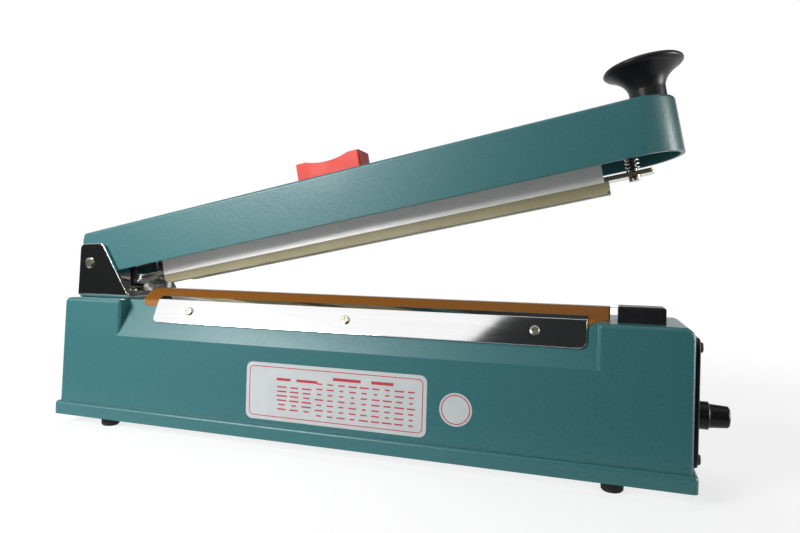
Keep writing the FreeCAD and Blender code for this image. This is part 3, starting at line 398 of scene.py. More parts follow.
    def dress(self, finish: Finish) -> bpy.types.Material:
        """Builds the material of a finish.

        Args:
            finish: the finish to build.

        Returns:
            The finished material.
        """
        material = bpy.data.materials.new(finish.slot)
        material.use_nodes = True
        tree = material.node_tree
        surface = tree.nodes["Principled BSDF"]
        place = tree.nodes.new("ShaderNodeTexCoord")
        grain = tree.nodes.new("ShaderNodeGroup")
        grain.node_tree = self.groups[GRAIN_GROUPS[finish.grain]]
        grain.inputs["Pitch"].default_value = finish.pitch
        source = "UV" if finish.grain is Grain.WOVEN else "Object"
        link(tree, place.outputs[source], grain.inputs["Vector"])
        mix = tree.nodes.new("ShaderNodeMix")
        mix.data_type = "RGBA"
        mix.inputs[MIX_FIRST_COLOUR].default_value = (*finish.colour, 1.0)
        mix.inputs[MIX_SECOND_COLOUR].default_value = (*finish.second, 1.0)
        link(tree, grain.outputs["Mask"], mix.inputs[0])
        link(tree, mix.outputs[MIX_COLOUR_OUT], surface.inputs["Base Color"])
        rough = tree.nodes.new("ShaderNodeMapRange")
        rough.inputs["To Min"].default_value = max(finish.rough * (1 - ROUGH_SPREAD), SMOOTHEST)
        rough.inputs["To Max"].default_value = min(finish.rough * (1 + ROUGH_SPREAD * 2), ROUGHEST)
        link(tree, grain.outputs["Mask"], rough.inputs["Value"])
        link(tree, rough.outputs["Result"], surface.inputs["Roughness"])
        bump = tree.nodes.new("ShaderNodeBump")
        bump.inputs["Strength"].default_value = 1.0
        bump.inputs["Distance"].default_value = finish.relief
        link(tree, grain.outputs["Height"], bump.inputs["Height"])
        link(tree, bump.outputs["Normal"], surface.inputs["Normal"])
        if finish.edge:
            worn = tree.nodes.new("ShaderNodeBevel")
            worn.samples = EDGE_SAMPLES
            worn.inputs["Radius"].default_value = finish.edge
            link(tree, worn.outputs["Normal"], bump.inputs["Normal"])
        surface.inputs["Metallic"].default_value = finish.metallic
        surface.inputs["Specular IOR Level"].default_value = finish.specular
        surface.inputs["Coat Weight"].default_value = finish.coat
        surface.inputs["Coat Roughness"].default_value = COAT_ROUGHNESS
        self.made[finish.slot] = material
        return material

    def plain(self, name: str, colour: Triple, rough: float) -> bpy.types.Material:
        """A printed colour with a faint grain, for label and dial prints.

        Args:
            name: name of the material.
            colour: linear colour of the print.
            rough: its roughness.

        Returns:
            The finished material.
        """
        shade = tuple(channel * PRINT_SHADE for channel in colour)
        return self.dress(Finish(name, colour, shade, rough, pitch=0.0009, relief=0.000004))


def new_piece(name: str, mesh: bpy.types.Mesh, material: bpy.types.Material) -> bpy.types.Object:
    """Links a mesh into the scene as a piece.

    Args:
        name: name of the piece.
        mesh: its mesh, in place.
        material: its material.

    Returns:
        The new object, at the origin.
    """
    piece = bpy.data.objects.new(name, mesh)
    bpy.context.scene.collection.objects.link(piece)
    piece.data.materials.clear()
    piece.data.materials.append(material)
    return piece


def finished(build: bmesh.types.BMesh, name: str) -> bpy.types.Mesh:
    """Turns what was built into a mesh and frees it.

    Args:
        build: the built faces.
        name: name of the mesh.

    Returns:
        The new mesh.
    """
    mesh = bpy.data.meshes.new(name)
    build.to_mesh(mesh)
    build.free()
    return mesh


def prism_mesh(
    name: str, outline: list[Pair], depth: float, hole: list[Pair] | None = None
) -> bpy.types.Mesh:
    """A flat slab with an outline in X and Y, from z = 0 to a depth.

    Args:
        name: name of the mesh.
        outline: outer corners, counter-clockwise.
        depth: thickness.
        hole: inner corners, as many as the outer ones, or None.

    Returns:
        The closed mesh.
    """
    build = bmesh.new()
    low = [build.verts.new((x, y, 0.0)) for x, y in outline]
    high = [build.verts.new((x, y, depth)) for x, y in outline]
    count = len(outline)
    if hole is None:
        build.faces.new(high)
        build.faces.new(low[::-1])
    else:
        low_in = [build.verts.new((x, y, 0.0)) for x, y in hole]
        high_in = [build.verts.new((x, y, depth)) for x, y in hole]
    for i in range(count):
        j = (i + 1) % count
        build.faces.new((low[i], low[j], high[j], high[i]))
        if hole is not None:
            build.faces.new((low_in[j], low_in[i], high_in[i], high_in[j]))
            build.faces.new((high[i], high[j], high_in[j], high_in[i]))
            build.faces.new((low[j], low[i], low_in[i], low_in[j]))
    return finished(build, name)


def rounded(width: float, height: float, radius: float, steps: int = 8) -> list[Pair]:
    """Corners of a rounded rectangle centred on zero, counter-clockwise.

    Args:
        width: size in X.
        height: size in Y.
        radius: radius of its corners.
        steps: how many chords a corner has.

    Returns:
        The corners.
    """
    points = []
    reach = (width / 2 - radius, height / 2 - radius)
    for corner, (sx, sy) in enumerate(((1, 1), (-1, 1), (-1, -1), (1, -1))):
        for step in range(steps + 1):
            angle = math.radians(90 * corner + 90 * step / steps)
            x = sx * reach[0] + radius * math.cos(angle)
            y = sy * reach[1] + radius * math.sin(angle)
            points.append((x, y))
    return points


def round_ring(radius: float, steps: int = 64) -> list[Pair]:
    """Corners of a circle about zero, counter-clockwise."""
    turn = 2 * math.pi / steps
    return [(radius * math.cos(turn * i), radius * math.sin(turn * i)) for i in range(steps)]


def joined(name: str, meshes: list[bpy.types.Mesh]) -> bpy.types.Mesh:
    """Joins meshes into one.

    Args:
        name: name of the new mesh.
        meshes: the meshes to join.

    Returns:
        The joined mesh.
    """
    build = bmesh.new()
    for mesh in meshes:
        build.from_mesh(mesh)
    return finished(build, name)


def start_tree(name: str, inputs: dict[str, tuple[str, object]]) -> bpy.types.NodeTree:
    """Starts a geometry tree with named inputs.

    Args:
        name: name of the tree.
        inputs: kind and default of each input, None for no default.

    Returns:
        The tree, still without nodes.
    """
    tree = bpy.data.node_groups.new(name, "GeometryNodeTree")
    tree.interface.new_socket("Geometry", in_out="OUTPUT", socket_type="NodeSocketGeometry")
    for key, (kind, value) in inputs.items():
        item = tree.interface.new_socket(key, in_out="INPUT", socket_type="NodeSocket" + kind)
        if value is not None:
            item.default_value = value
    return tree


def close_tree(
    tree: bpy.types.NodeTree, instances: bpy.types.NodeSocket,
    ink: bpy.types.NodeSocket, leave: bpy.types.Node,
) -> None:
    """Ends a geometry tree in Realize Instances and Set Material.

    Args:
        tree: the geometry tree.
        instances: socket with the instances.
        ink: socket with the material.
        leave: output node of the tree.
    """
    real = tree.nodes.new("GeometryNodeRealizeInstances")
    paint = tree.nodes.new("GeometryNodeSetMaterial")
    link(tree, instances, real.inputs[0])
    link(tree, real.outputs[0], paint.inputs["Geometry"])
    link(tree, ink, paint.inputs["Material"])
    link(tree, paint.outputs["Geometry"], leave.inputs[0])


def grown(name: str, tree: bpy.types.NodeTree, values: dict[str, object]) -> bpy.types.Mesh:
    """Runs a geometry tree and keeps its result as a plain mesh.

    Args:
        name: name of the mesh.
        tree: the geometry tree.
        values: inputs by name, set by their identifiers.

    Returns:
        The plain mesh.
    """
    holder = bpy.data.objects.new(name + "_seed", bpy.data.meshes.new(name + "_seed"))
    bpy.context.scene.collection.objects.link(holder)
    modifier = holder.modifiers.new("grow", "NODES")
    modifier.node_group = tree
    for item in tree.interface.items_tree:
        if item.item_type == "SOCKET" and item.in_out == "INPUT" and item.name in values:
            modifier[item.identifier] = values[item.name]
    holder.update_tag()
    graph = bpy.context.evaluated_depsgraph_get()
    mesh = bpy.data.meshes.new_from_object(holder.evaluated_get(graph))
    mesh.name = name
    holder.modifiers.remove(modifier)
    bpy.data.objects.remove(holder)
    return mesh


def word_tree() -> bpy.types.NodeTree:
    """Rows of short plain printed bars of uneven length.

    Returns:
        A geometry tree with the number of rows and words and their sizes as inputs.
    """
    shortest_share = 0.35
    tree = start_tree("print_rows", {
        "Words": ("Int", 8),
        "Rows": ("Int", 5),
        "Width": ("Float", 0.05),
        "Height": ("Float", 0.02),
        "Letter": ("Float", 0.001),
        "Proud": ("Float", 0.00005),
        "Longest": ("Float", 0.006),
        "Seed": ("Int", 3),
        "Ink": ("Material", None),
    })
    entry = tree.nodes.new("NodeGroupInput")
    leave = tree.nodes.new("NodeGroupOutput")
    grid = tree.nodes.new("GeometryNodeMeshGrid")
    ends = {"Width": "Size X", "Height": "Size Y", "Words": "Vertices X", "Rows": "Vertices Y"}
    for name, end in ends.items():
        link(tree, entry.outputs[name], grid.inputs[end])
    bar = tree.nodes.new("GeometryNodeMeshCube")
    bar.inputs["Size"].default_value = (1.0, 1.0, 1.0)
    length = tree.nodes.new("FunctionNodeRandomValue")
    length.data_type = "FLOAT"
    shortest = math_node(tree, "MULTIPLY", second=shortest_share)
    link(tree, entry.outputs["Longest"], shortest.inputs[0])
    link(tree, shortest.outputs[0], length.inputs[RANDOM_LOWEST])
    link(tree, entry.outputs["Longest"], length.inputs[RANDOM_HIGHEST])
    link(tree, entry.outputs["Seed"], length.inputs["Seed"])
    size = tree.nodes.new("ShaderNodeCombineXYZ")
    link(tree, length.outputs[RANDOM_NUMBER_OUT], size.inputs["X"])
    link(tree, entry.outputs["Letter"], size.inputs["Y"])
    link(tree, entry.outputs["Proud"], size.inputs["Z"])
    spread = tree.nodes.new("GeometryNodeInstanceOnPoints")
    link(tree, grid.outputs["Mesh"], spread.inputs["Points"])
    link(tree, bar.outputs["Mesh"], spread.inputs["Instance"])
    link(tree, size.outputs[0], spread.inputs["Scale"])
    close_tree(tree, spread.outputs["Instances"], entry.outputs["Ink"], leave)
    return tree


def tick_tree() -> bpy.types.NodeTree:
    """Even tick marks round an arc, for the timer dial.

    Returns:
        A geometry tree with the count, radius, start, sweep and tick sizes as inputs.
    """
    chords = 64
    tree = start_tree("dial_ticks", {
        "Count": ("Int", 11),
        "Radius": ("Float", 0.0105),
        "Start": ("Float", -0.785),
        "Sweep": ("Float", 4.712),
        "Tick": ("Vector", (0.002, 0.0001, 0.0005)),
        "Ink": ("Material", None),
    })
    entry = tree.nodes.new("NodeGroupInput")
    leave = tree.nodes.new("NodeGroupOutput")
    arc = tree.nodes.new("GeometryNodeCurveArc")
    arc.inputs["Resolution"].default_value = chords
    for name, end in (("Radius", "Radius"), ("Start", "Start Angle"), ("Sweep", "Sweep Angle")):
        link(tree, entry.outputs[name], arc.inputs[end])
    points = tree.nodes.new("GeometryNodeCurveToPoints")
    points.mode = "COUNT"
    link(tree, arc.outputs["Curve"], points.inputs["Curve"])
    link(tree, entry.outputs["Count"], points.inputs["Count"])
    mark = tree.nodes.new("GeometryNodeMeshCube")
    link(tree, entry.outputs["Tick"], mark.inputs["Size"])
    spread = tree.nodes.new("GeometryNodeInstanceOnPoints")
    link(tree, points.outputs["Points"], spread.inputs["Points"])
    link(tree, mark.outputs["Mesh"], spread.inputs["Instance"])
    link(tree, points.outputs["Rotation"], spread.inputs["Rotation"])
    close_tree(tree, spread.outputs["Instances"], entry.outputs["Ink"], leave)
    return tree


@dataclass
class HousingFront:
    """The drafted front face, on which the two labels lie."""

    foot_y: float = -40.0 * MM
    foot_z: float = 7.5 * MM
    height: float = 87.0 * MM
    draft: float = 1.2 * MM

    def lay(self, mesh: bpy.types.Mesh, x: float, z: float, proud: float = 0.0) -> None:
        """Moves a mesh drawn in X and Y onto the front face.

        Args:
            mesh: the mesh, with its depth along Z.
            x: where its zero goes along the housing.
            z: how high its zero goes.
            proud: how far its back stands off the face.
        """
        for vertex in mesh.vertices:
            across, up, out = vertex.co
            high = z + up
            lean = self.draft * (high - self.foot_z) / self.height
            vertex.co = (x + across, self.foot_y + lean - proud - out, high)
        mesh.update()


@dataclass(frozen=True)
class PrintBlock:
    """Rows of bars on the wide label, in millimetres.

    Args:
        name: name of its piece.
        x: its middle along the label.
        z: its middle up the label.
        words: bars in a row.
        rows: number of rows.
        width: from the first bar of a row to the last.
        height: from the first row to the last.
        letter: height of a bar.
        longest: length of the longest bar.
        seed: fixes the lengths of the bars.
    """

    name: str
    x: float
    z: float
    words: int
    rows: int
    width: float
    height: float
    letter: float
    longest: float
    seed: int


PRINT_BLOCKS: tuple[PrintBlock, ...] = (
    PrintBlock("print_title", -26.5, 8.6, 2, 1, width=17.0, height=0.0, letter=1.7, longest=15.0, seed=5),
    PrintBlock("print_list", -27.0, -3.6, 3, 6, width=18.0, height=14.5, letter=0.95, longest=8.0, seed=11),
    PrintBlock("print_heading", 22.0, 11.6, 2, 1, width=24.0, height=0.0, letter=1.9, longest=23.0, seed=7),
    PrintBlock("print_text", 22.0, -2.4, 9, 7, width=62.0, height=20.4, letter=0.9, longest=6.6, seed=23),
)


@dataclass
class Labels:
    """The wide printed label and the small round one on the front of the housing."""

    shop: FinishShop
    front: HousingFront = field(default_factory=HousingFront)
    x: float = -3.75 * MM
    z: float = 39.1 * MM
    width: float = 125.6 * MM
    height: float = 37.6 * MM
    corner: float = 4.5 * MM
    thick: float = 0.12 * MM
    border_inset: float = 2.3 * MM
    border_line: float = 0.55 * MM
    border_corner: float = 3.3 * MM
    ink_thick: float = 0.03 * MM
    disc_x: float = 77.0 * MM
    disc_z: float = 39.1 * MM
    disc_radius: float = 10.0 * MM
    ring_outer: float = 8.9 * MM
    ring_inner: float = 8.3 * MM

    def outline(self, inset: float, radius: float) -> list[Pair]:
        """The wide label's outline, drawn in by an inset."""
        return rounded(self.width - 2 * inset, self.height - 2 * inset, radius)

    def build(self) -> list[bpy.types.Object]:
        """Makes both labels and their prints.

        Returns:
            The pieces, in place.
        """
        paper = self.shop.plain("label_stock", (0.55, 0.58, 0.59), 0.4)
        crimson = self.shop.plain("crimson_ink", (0.50, 0.035, 0.055), 0.4)
        sheet = prism_mesh("wide_label", self.outline(0.0, self.corner), self.thick)
        self.front.lay(sheet, self.x, self.z)
        outer = self.outline(self.border_inset, self.border_corner)
        inner = self.outline(self.border_inset + self.border_line, self.border_corner - self.border_line)
        border = prism_mesh("label_border", outer, self.ink_thick, inner)
        self.front.lay(border, self.x, self.z, self.thick)
        disc = prism_mesh("round_label", round_ring(self.disc_radius), self.thick)
        self.front.lay(disc, self.disc_x, self.disc_z)
        ring = prism_mesh(
            "round_label_ring", round_ring(self.ring_outer), self.ink_thick, round_ring(self.ring_inner)
        )
        self.front.lay(ring, self.disc_x, self.disc_z, self.thick)
        pieces = [new_piece("wide_label", sheet, paper), new_piece("label_border", border, crimson)]
        pieces += [new_piece("round_label", disc, paper), new_piece("round_label_ring", ring, crimson)]
        pieces += self.prints(crimson)
        for piece in pieces:
            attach(piece, "base")
        return pieces

    def prints(self, ink: bpy.types.Material) -> list[bpy.types.Object]:
        """Rows of plain bars on the wide label.

        Args:
            ink: material of the bars.

        Returns:
            One piece for each block of rows, in place.
        """
        tree = word_tree()
        pieces = []
        for block in PRINT_BLOCKS:
            values = {
                "Words": block.words,
                "Rows": block.rows,
                "Width": block.width * MM,
                "Height": block.height * MM,
                "Letter": block.letter * MM,
                "Proud": self.ink_thick,
                "Longest": block.longest * MM,
                "Seed": block.seed,
                "Ink": ink,
            }
            mesh = grown(block.name, tree, values)
            proud = self.thick + self.ink_thick / 2
            self.front.lay(mesh, self.x + block.x * MM, self.z + block.z * MM, proud)
            pieces.append(new_piece(block.name, mesh, ink))
        return pieces


@dataclass
class TimerDial:
    """White ticks and digits round the timer knob on the black end panel."""

    shop: FinishShop
    x: float = 209.5 * MM
    z: float = 40.9 * MM
    radius: float = 11.0 * MM
    ticks: int = 25
    tick_proud: float = 0.02 * MM
    digits: int = 9
    digit_size: float = 3.4 * MM
    digit_thick: float = 0.03 * MM
    digit_gap: float = 3.4 * MM
    sweep: float = 270.0

    def lay(self, mesh: bpy.types.Mesh, y: float = 0.0, z: float = 0.0, proud: float = 0.0) -> None:
        """Moves a mesh drawn in X and Y onto the panel, facing +X.

        Args:
            mesh: the mesh, with its depth along Z.
            y: where its zero goes across the panel.
            z: how far its zero goes above the knob's middle.
            proud: how far its back stands off the panel.
        """
        for vertex in mesh.vertices:
            across, up, out = vertex.co
            vertex.co = (self.x + proud + out, y + across, self.z + z + up)
        mesh.update()

    def digit(self, number: int) -> bpy.types.Mesh:
        """Makes one digit of the dial.

        Args:
            number: which digit.

        Returns:
            Its mesh, in place.
        """
        text = bpy.data.curves.new("digit", "FONT")
        text.body = str(number)
        text.size = self.digit_size
        text.extrude = self.digit_thick
        text.align_x = "CENTER"
        text.align_y = "CENTER"
        holder = bpy.data.objects.new("digit", text)
        bpy.context.scene.collection.objects.link(holder)
        graph = bpy.context.evaluated_depsgraph_get()
        mesh = bpy.data.meshes.new_from_object(holder.evaluated_get(graph))
        bpy.data.objects.remove(holder)
        angle = math.radians(90 + self.sweep / 2 - self.sweep * number / (self.digits - 1))
        reach = self.radius + self.digit_gap
        self.lay(mesh, reach * math.cos(angle), reach * math.sin(angle), self.digit_thick)
        return mesh

    def build(self) -> list[bpy.types.Object]:
        """Makes the ticks and the digits.

        Returns:
            The pieces, in place.
        """
        ink = self.shop.plain("dial_ink", (0.75, 0.75, 0.74), 0.45)
        values = {
            "Count": self.ticks,
            "Radius": self.radius,
            "Start": math.radians(90 - self.sweep / 2),
            "Sweep": math.radians(self.sweep),
            "Ink": ink,
        }
        ticks = grown("dial_ticks", tick_tree(), values)
        self.lay(ticks, proud=self.tick_proud)
        digits = joined("dial_digits", [self.digit(number) for number in range(self.digits)])
        pieces = [new_piece("dial_ticks", ticks, ink), new_piece("dial_digits", digits, ink)]
        for piece in pieces:
            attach(piece, "base")
        return pieces


@dataclass
class SealingCloth:
    """The coated glass cloth that covers the heating ribbon, held by the clamp strip."""

    shop: FinishShop
    left: float = -166.5 * MM
    right: float = 162.8 * MM
    thick: float = 0.26 * MM
    clearance: float = 0.01 * MM
    low: Pair = (-28.87 * MM, 90.5 * MM)
    corner: Pair = (-27.0 * MM, 94.5 * MM)
    shoulder: Pair = (-10.0 * MM, 102.1 * MM)
    edge: Pair = (-2.0 * MM, 102.1 * MM)
    left_cut: Pair = (-159.2 * MM, 1.0)
    right_cut: Pair = (149.5 * MM, 1.55)
    cut_height: float = 4.5 * MM
    ripple: float = 0.03 * MM
    ripple_along: float = 90.0
    ripple_up: float = 260.0
    bands: int = 8
    steps: int = 220

    def path(self) -> list[Triple]:
        """Follows the cloth's section over slope, rail side and rail top.

        Returns:
            Its points in Y and Z, each with the distance along it.
        """
        corners = [self.low, self.corner, self.shoulder, self.edge]
        points = []
        travelled = 0.0
        for (y0, z0), (y1, z1) in zip(corners, corners[1:]):
            span = math.hypot(y1 - y0, z1 - z0)
            for step in range(self.bands):
                share = step / self.bands
                points.append((y0 + (y1 - y0) * share, z0 + (z1 - z0) * share, travelled + span * share))
            travelled += span
        points.append((*corners[-1], travelled))
        return points

    def ends(self, z: float) -> Pair:
        """Where a level of the cloth starts and ends along X, with its two lower corners cut off.

        Args:
            z: height of the level.

        Returns:
            The start and the end.
        """
        rise = z - self.low[1]
        start = self.left_cut[0] - rise * self.left_cut[1]
        end = self.right_cut[0] + rise * self.right_cut[1]
        if rise > self.cut_height:
            end = self.right
        return max(self.left, start), min(self.right, end)

    def normals(self, path: list[Triple]) -> list[Pair]:
        """Finds which way the cloth faces along its section.

        Args:
            path: points of the section.

        Returns:
            The direction in Y and Z at each point.
        """
        found = []
        for index in range(len(path)):
            before = path[max(index - 1, 0)]
            after = path[min(index + 1, len(path) - 1)]
            span = math.hypot(after[0] - before[0], after[1] - before[1])
            found.append((-(after[1] - before[1]) / span, (after[0] - before[0]) / span))
        return found

    def side(
        self, build: bmesh.types.BMesh, path: list[Triple], top: bool, place: dict[bmesh.types.BMVert, Pair]
    ) -> list[list[bmesh.types.BMVert]]:
        """Makes the corners of one side of the cloth.

        Args:
            build: the mesh under construction.
            path: points of the section.
            top: whether it is the upper side, which has the ripple.
            place: takes each corner's place on the flat cloth.

        Returns:
            The corners, a row for each point of the section.
        """
        rows = []
        for (y, z, along), (ny, nz) in zip(path, self.normals(path)):
            row = []
            start, end = self.ends(z)
            held = math.sin(math.pi * along / path[-1][2])
            for step in range(self.steps + 1):
                x = start + (end - start) * step / self.steps
                swell = 0.5 + 0.5 * math.sin(x * self.ripple_along + along * self.ripple_up)
                rise = self.thick + self.ripple * swell * held
                out = self.clearance + (rise if top else 0.0)
                vertex = build.verts.new((x, y + ny * out, z + nz * out))
                place[vertex] = (x, along)
                row.append(vertex)
            rows.append(row)
        return rows

    def close(
        self, build: bmesh.types.BMesh,
        under: list[list[bmesh.types.BMVert]], top: list[list[bmesh.types.BMVert]],
    ) -> None:
        """Makes the faces of both sides and of the four edges.

        Args:
            build: the mesh under construction.
            under: rows of corners of the lower side.
            top: rows of corners of the upper side.
        """
        for i in range(len(top) - 1):
            for j in range(self.steps):
                build.faces.new((top[i][j], top[i][j + 1], top[i + 1][j + 1], top[i + 1][j]))
                build.faces.new((under[i + 1][j], under[i + 1][j + 1], under[i][j + 1], under[i][j]))
            build.faces.new((under[i][0], top[i][0], top[i + 1][0], under[i + 1][0]))
            build.faces.new((under[i + 1][-1], top[i + 1][-1], top[i][-1], under[i][-1]))
        for j in range(self.steps):
            build.faces.new((under[0][j], under[0][j + 1], top[0][j + 1], top[0][j]))
            build.faces.new((top[-1][j], top[-1][j + 1], under[-1][j + 1], under[-1][j]))

    def build(self) -> bpy.types.Object:
        """Makes the cloth as one closed thin sheet with its own UV map.

        Returns:
            The cloth, one closed thin mesh, in place.
        """
        path = self.path()
        build = bmesh.new()
        layer = build.loops.layers.uv.new("cloth")
        place: dict[bmesh.types.BMVert, Pair] = {}
        under = self.side(build, path, False, place)
        top = self.side(build, path, True, place)
        self.close(build, under, top)
        bmesh.ops.recalc_face_normals(build, faces=build.faces)
        for face in build.faces:
            face.smooth = True
            for loop in face.loops:
                loop[layer].uv = place[loop.vert]
        cloth = new_piece("sealing_cloth", finished(build, "sealing_cloth"), self.shop.made["glass_cloth"])
        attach(cloth, "base")
        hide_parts("ptfe_cloth")
        return cloth


@dataclass(frozen=True)
class Lamp:
    """A square soft lamp of the studio.

    Args:
        name: name of the lamp.
        place: where it stands.
        aim: what it points at.
        size: length of its side in metres.
        watts: its power.
        spread: angle of its light in degrees.
    """

    name: str
    place: Triple
    aim: Triple
    size: float
    watts: float
    spread: float


@dataclass(frozen=True)
class Card:
    """A flat dark card that only mirrors see.

    Args:
        name: name of the card.
        corners: its corners, in X and Z where it stands and in X and Y where it lies.
        level: its Y where it stands and its Z where it lies.
        lies: whether it lies flat.
    """

    name: str
    corners: tuple[Pair, ...]
    level: float
    lies: bool = False

    def points(self) -> list[Triple]:
        """The card's corners in space.

        Returns:
            Its corners in order.
        """
        if self.lies:
            return [(x, y, self.level) for x, y in self.corners]
        return [(x, self.level, z) for x, z in self.corners]


LAMPS: tuple[Lamp, ...] = (
    Lamp("key", (-0.53, -0.76, 0.47), (-0.17, 0.0, 0.12), size=0.4, watts=2.15, spread=80),
    Lamp("rim", (0.95, 0.0, 0.20), (0.20, -0.02, 0.16), size=0.3, watts=0.12, spread=40),
    Lamp("top", (-0.2, 0.5, 1.7), (0.0, 0.0, 0.1), size=1.2, watts=9.0, spread=180),
)
CARDS: tuple[Card, ...] = (
    Card("low_card", ((-0.42, 0.01), (1.2, 0.01), (1.2, 0.42), (-0.42, 0.42)), level=-0.9),
    Card(
        "left_card",
        ((-2.6, 0.01), (-0.42, 0.01), (-0.42, 0.12), (-0.95, 0.12), (-0.95, 0.42), (-2.6, 0.42)),
        level=-0.9,
    ),
    Card("floor_card", ((-2.6, -3.0), (1.2, -3.0), (1.2, -0.10), (-2.6, -0.10)), level=0.004, lies=True),
    Card("right_card", ((-0.58, 0.9), (2.2, 0.9), (2.2, 2.6), (0.61, 2.6)), level=-1.35),
    Card("rear_card", ((-1.6, 0.12), (1.8, 0.12), (1.8, 1.3), (-1.6, 1.3)), level=0.7, lies=True),
)


@dataclass
class Studio:
    """Pale floor, soft lamps, cards for the metal to mirror and the camera at the photograph's angle."""

    camera_place: Triple = (0.16322, -0.40058, 0.12582)
    yaw: float = 0.32865
    pitch: float = 0.005863
    roll: float = 0.022246
    focal_pixels: float = 621.78
    image_width: int = 800
    sensor_width: float = 36.0
    nearest: float = 0.01
    farthest: float = 100.0
    world_light: float = 0.15
    floor_reach: float = 30.0
    floor_colour: Triple = (0.86, 0.86, 0.86)
    floor_glow: float = 1.22
    glow_starts: float = 0.35
    glow_full: float = 1.1
    glow_near: float = 0.6
    glow_far: float = 0.88
    card_colour: Triple = (0.028, 0.030, 0.031)
    bright_glow: float = 16.0
    bright_x: float = 1.0
    bright_corners: tuple[Pair, ...] = ((-0.08, 0.0), (0.20, 0.0), (0.20, 0.55), (-0.08, 0.55))

    def build(self) -> None:
        """Makes everything round the object."""
        self.floor()
        self.world()
        self.lamps()
        self.cards()
        self.camera()
        bpy.context.scene.view_settings.view_transform = "Standard"

    def seen_ray(self, tree: bpy.types.NodeTree) -> bpy.types.NodeSocket:
        """Tells the rays that see the surroundings from the rays that only light things.

        Args:
            tree: the node tree.

        Returns:
            A socket that is 1 for camera, mirror and glass rays.
        """
        path = tree.nodes.new("ShaderNodeLightPath")
        first = math_node(tree, "MAXIMUM")
        second = math_node(tree, "MAXIMUM")
        link(tree, path.outputs["Is Camera Ray"], first.inputs[0])
        link(tree, path.outputs["Is Glossy Ray"], first.inputs[1])
        link(tree, first.outputs[0], second.inputs[0])
        link(tree, path.outputs["Is Transmission Ray"], second.inputs[1])
        return second.outputs[0]

    def glowing(self, name: str, strength: float) -> tuple[bpy.types.Material, bpy.types.Node]:
        """Makes a material that glows white.

        Args:
            name: name of the material.
            strength: strength of its glow, 1 for plain white.

        Returns:
            The material and its glow node, which isn't linked to the surface yet.
        """
        material = bpy.data.materials.new(name)
        material.use_nodes = True
        tree = material.node_tree
        tree.nodes.remove(tree.nodes["Principled BSDF"])
        glow = tree.nodes.new("ShaderNodeEmission")
        glow.inputs["Color"].default_value = WHITE
        glow.inputs["Strength"].default_value = strength
        return material, glow

    def flat(self, name: str, corners: list[Triple], material: bpy.types.Material) -> bpy.types.Object:
        """Makes one flat face of the studio.

        Args:
            name: name of the face.
            corners: its corners in order.
            material: its material.

        Returns:
            The face, in place.
        """
        mesh = bpy.data.meshes.new(name)
        mesh.from_pydata(corners, [], [tuple(range(len(corners)))])
        piece = new_piece(name, mesh, material)
        return piece

    def card(self, name: str, corners: list[Triple], material: bpy.types.Material) -> None:
        """Makes a card that only mirrors see.

        Args:
            name: name of the card.
            corners: its corners in order.
            material: its material.
        """
        card = self.flat(name, corners, material)
        card.visible_camera = False
        card.visible_diffuse = False
        card.visible_shadow = False

    def floor(self) -> None:
        """A wide pale floor that keeps a soft shadow near the object and glows white further out."""
        material, glow = self.glowing("studio_floor", self.floor_glow)
        tree = material.node_tree
        matt = tree.nodes.new("ShaderNodeBsdfDiffuse")
        matt.inputs["Color"].default_value = (*self.floor_colour, 1.0)
        place = tree.nodes.new("ShaderNodeTexCoord")
        distance = tree.nodes.new("ShaderNodeVectorMath")
        distance.operation = "LENGTH"
        link(tree, place.outputs["Object"], distance.inputs[0])
        fade = tree.nodes.new("ShaderNodeMapRange")
        fade.inputs["From Min"].default_value = self.glow_starts
        fade.inputs["From Max"].default_value = self.glow_full
        fade.inputs["To Min"].default_value = self.glow_near
        fade.inputs["To Max"].default_value = self.glow_far
        link(tree, distance.outputs["Value"], fade.inputs["Value"])
        share = math_node(tree, "MULTIPLY")
        link(tree, self.seen_ray(tree), share.inputs[0])
        link(tree, fade.outputs["Result"], share.inputs[1])
        mix = tree.nodes.new("ShaderNodeMixShader")
        link(tree, share.outputs[0], mix.inputs[0])
        link(tree, matt.outputs[0], mix.inputs[1])
        link(tree, glow.outputs[0], mix.inputs[2])
        link(tree, mix.outputs[0], tree.nodes["Material Output"].inputs["Surface"])
        far = self.floor_reach
        corners = [(-far, -far, 0.0), (far, -far, 0.0), (far, far, 0.0), (-far, far, 0.0)]
        self.flat("studio_floor", corners, material)

    def world(self) -> None:
        """An even pale surround, white where it is seen."""
        world = bpy.data.worlds.new("studio")
        bpy.context.scene.world = world
        world.use_nodes = True
        tree = world.node_tree
        back = tree.nodes["Background"]
        back.inputs["Color"].default_value = WHITE
        strength = tree.nodes.new("ShaderNodeMapRange")
        strength.inputs["To Min"].default_value = self.world_light
        strength.inputs["To Max"].default_value = 1.0
        link(tree, self.seen_ray(tree), strength.inputs["Value"])
        link(tree, strength.outputs["Result"], back.inputs["Strength"])

    def lamps(self) -> None:
        """A soft key from the upper left, a faint one at the right end and a broad one above."""
        for lamp in LAMPS:
            light = bpy.data.lights.new(lamp.name, "AREA")
            light.shape = "SQUARE"
            light.size = lamp.size
            light.energy = lamp.watts
            light.spread = math.radians(lamp.spread)
            holder = bpy.data.objects.new(lamp.name, light)
            bpy.context.scene.collection.objects.link(holder)
            away = Vector(lamp.place) - Vector(lamp.aim)
            turn = away.to_track_quat("Z", "Y").to_matrix().to_4x4()
            holder.matrix_world = Matrix.Translation(lamp.place) @ turn

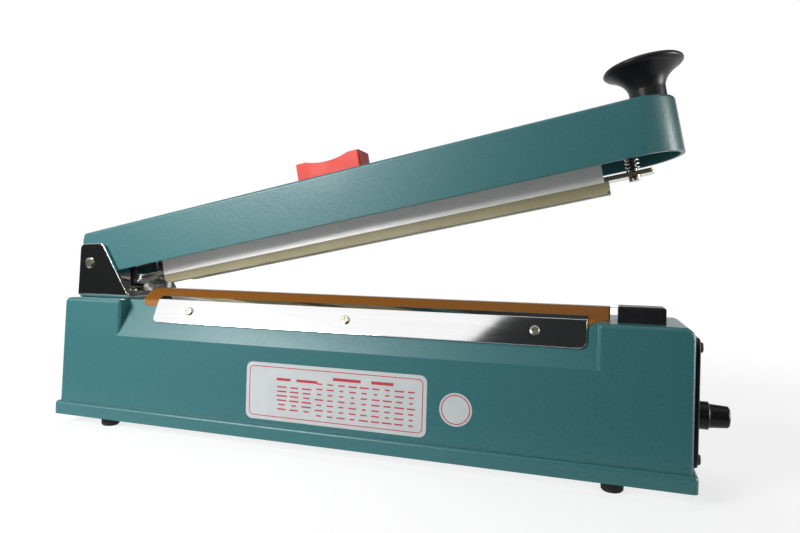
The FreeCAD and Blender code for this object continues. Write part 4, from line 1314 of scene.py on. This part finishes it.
    def cards(self) -> None:
        """Dark cards that the metal mirrors, and a bright one that lights the rounded arm end."""
        dark = bpy.data.materials.new("black_card")
        dark.use_nodes = True
        surface = dark.node_tree.nodes["Principled BSDF"]
        surface.inputs["Base Color"].default_value = (*self.card_colour, 1.0)
        surface.inputs["Roughness"].default_value = ROUGHEST
        for card in CARDS:
            self.card(card.name, card.points(), dark)
        bright, glow = self.glowing("bright_card", self.bright_glow)
        link(bright.node_tree, glow.outputs[0], bright.node_tree.nodes["Material Output"].inputs["Surface"])
        self.card("bright_card", [(self.bright_x, y, z) for y, z in self.bright_corners], bright)

    def camera(self) -> None:
        """The camera, turned as the photograph was taken."""
        level = math.cos(self.pitch)
        ahead = Vector((-math.sin(self.yaw) * level, math.cos(self.yaw) * level, -math.sin(self.pitch)))
        side = Vector((math.cos(self.yaw), math.sin(self.yaw), 0.0))
        up = side.cross(ahead)
        right = side * math.cos(self.roll) + up * math.sin(self.roll)
        above = up * math.cos(self.roll) - side * math.sin(self.roll)
        lens = bpy.data.cameras.new("camera")
        lens.sensor_width = self.sensor_width
        lens.lens = self.focal_pixels / self.image_width * self.sensor_width
        lens.clip_start = self.nearest
        lens.clip_end = self.farthest
        holder = bpy.data.objects.new("camera", lens)
        bpy.context.scene.collection.objects.link(holder)
        turn = Matrix((right, above, -ahead)).transposed().to_4x4()
        holder.matrix_world = Matrix.Translation(self.camera_place) @ turn
        bpy.context.scene.camera = holder


def dress_frame(frame: dict, shop: FinishShop) -> None:
    """Gives every carried-over CAD node the material of its slot.

    Args:
        shop: the finishes.
    """
    slots = {part["node"]: part["material_slot"] for part in frame["record"]["subparts"]}
    for name, node in frame["nodes"].items():
        node.data.materials.clear()
        node.data.materials.append(shop.made[slots[name]])


def main(frame: dict) -> None:
    """Builds the looks in order.
    """
    logging.basicConfig(level=logging.INFO)
    shop = FinishShop()
    shop.build_groups()
    for finish in FINISHES:
        shop.dress(finish)
    dress_frame(frame, shop)
    made = [SealingCloth(shop).build()]
    made += Labels(shop).build()
    made += TimerDial(shop).build()
    Studio().build()
    for piece in made:
        log.info("made %s with %d faces", piece.name, len(piece.data.polygons))


with open("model.json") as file:
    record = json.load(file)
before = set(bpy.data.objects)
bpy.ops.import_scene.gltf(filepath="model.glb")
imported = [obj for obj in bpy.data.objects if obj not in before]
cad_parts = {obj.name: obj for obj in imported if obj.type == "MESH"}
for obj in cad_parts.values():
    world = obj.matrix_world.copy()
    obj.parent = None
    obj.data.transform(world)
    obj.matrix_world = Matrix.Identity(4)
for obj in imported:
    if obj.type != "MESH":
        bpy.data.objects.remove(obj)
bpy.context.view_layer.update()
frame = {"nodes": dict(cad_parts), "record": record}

if __name__ == "__main__":
    main(frame)
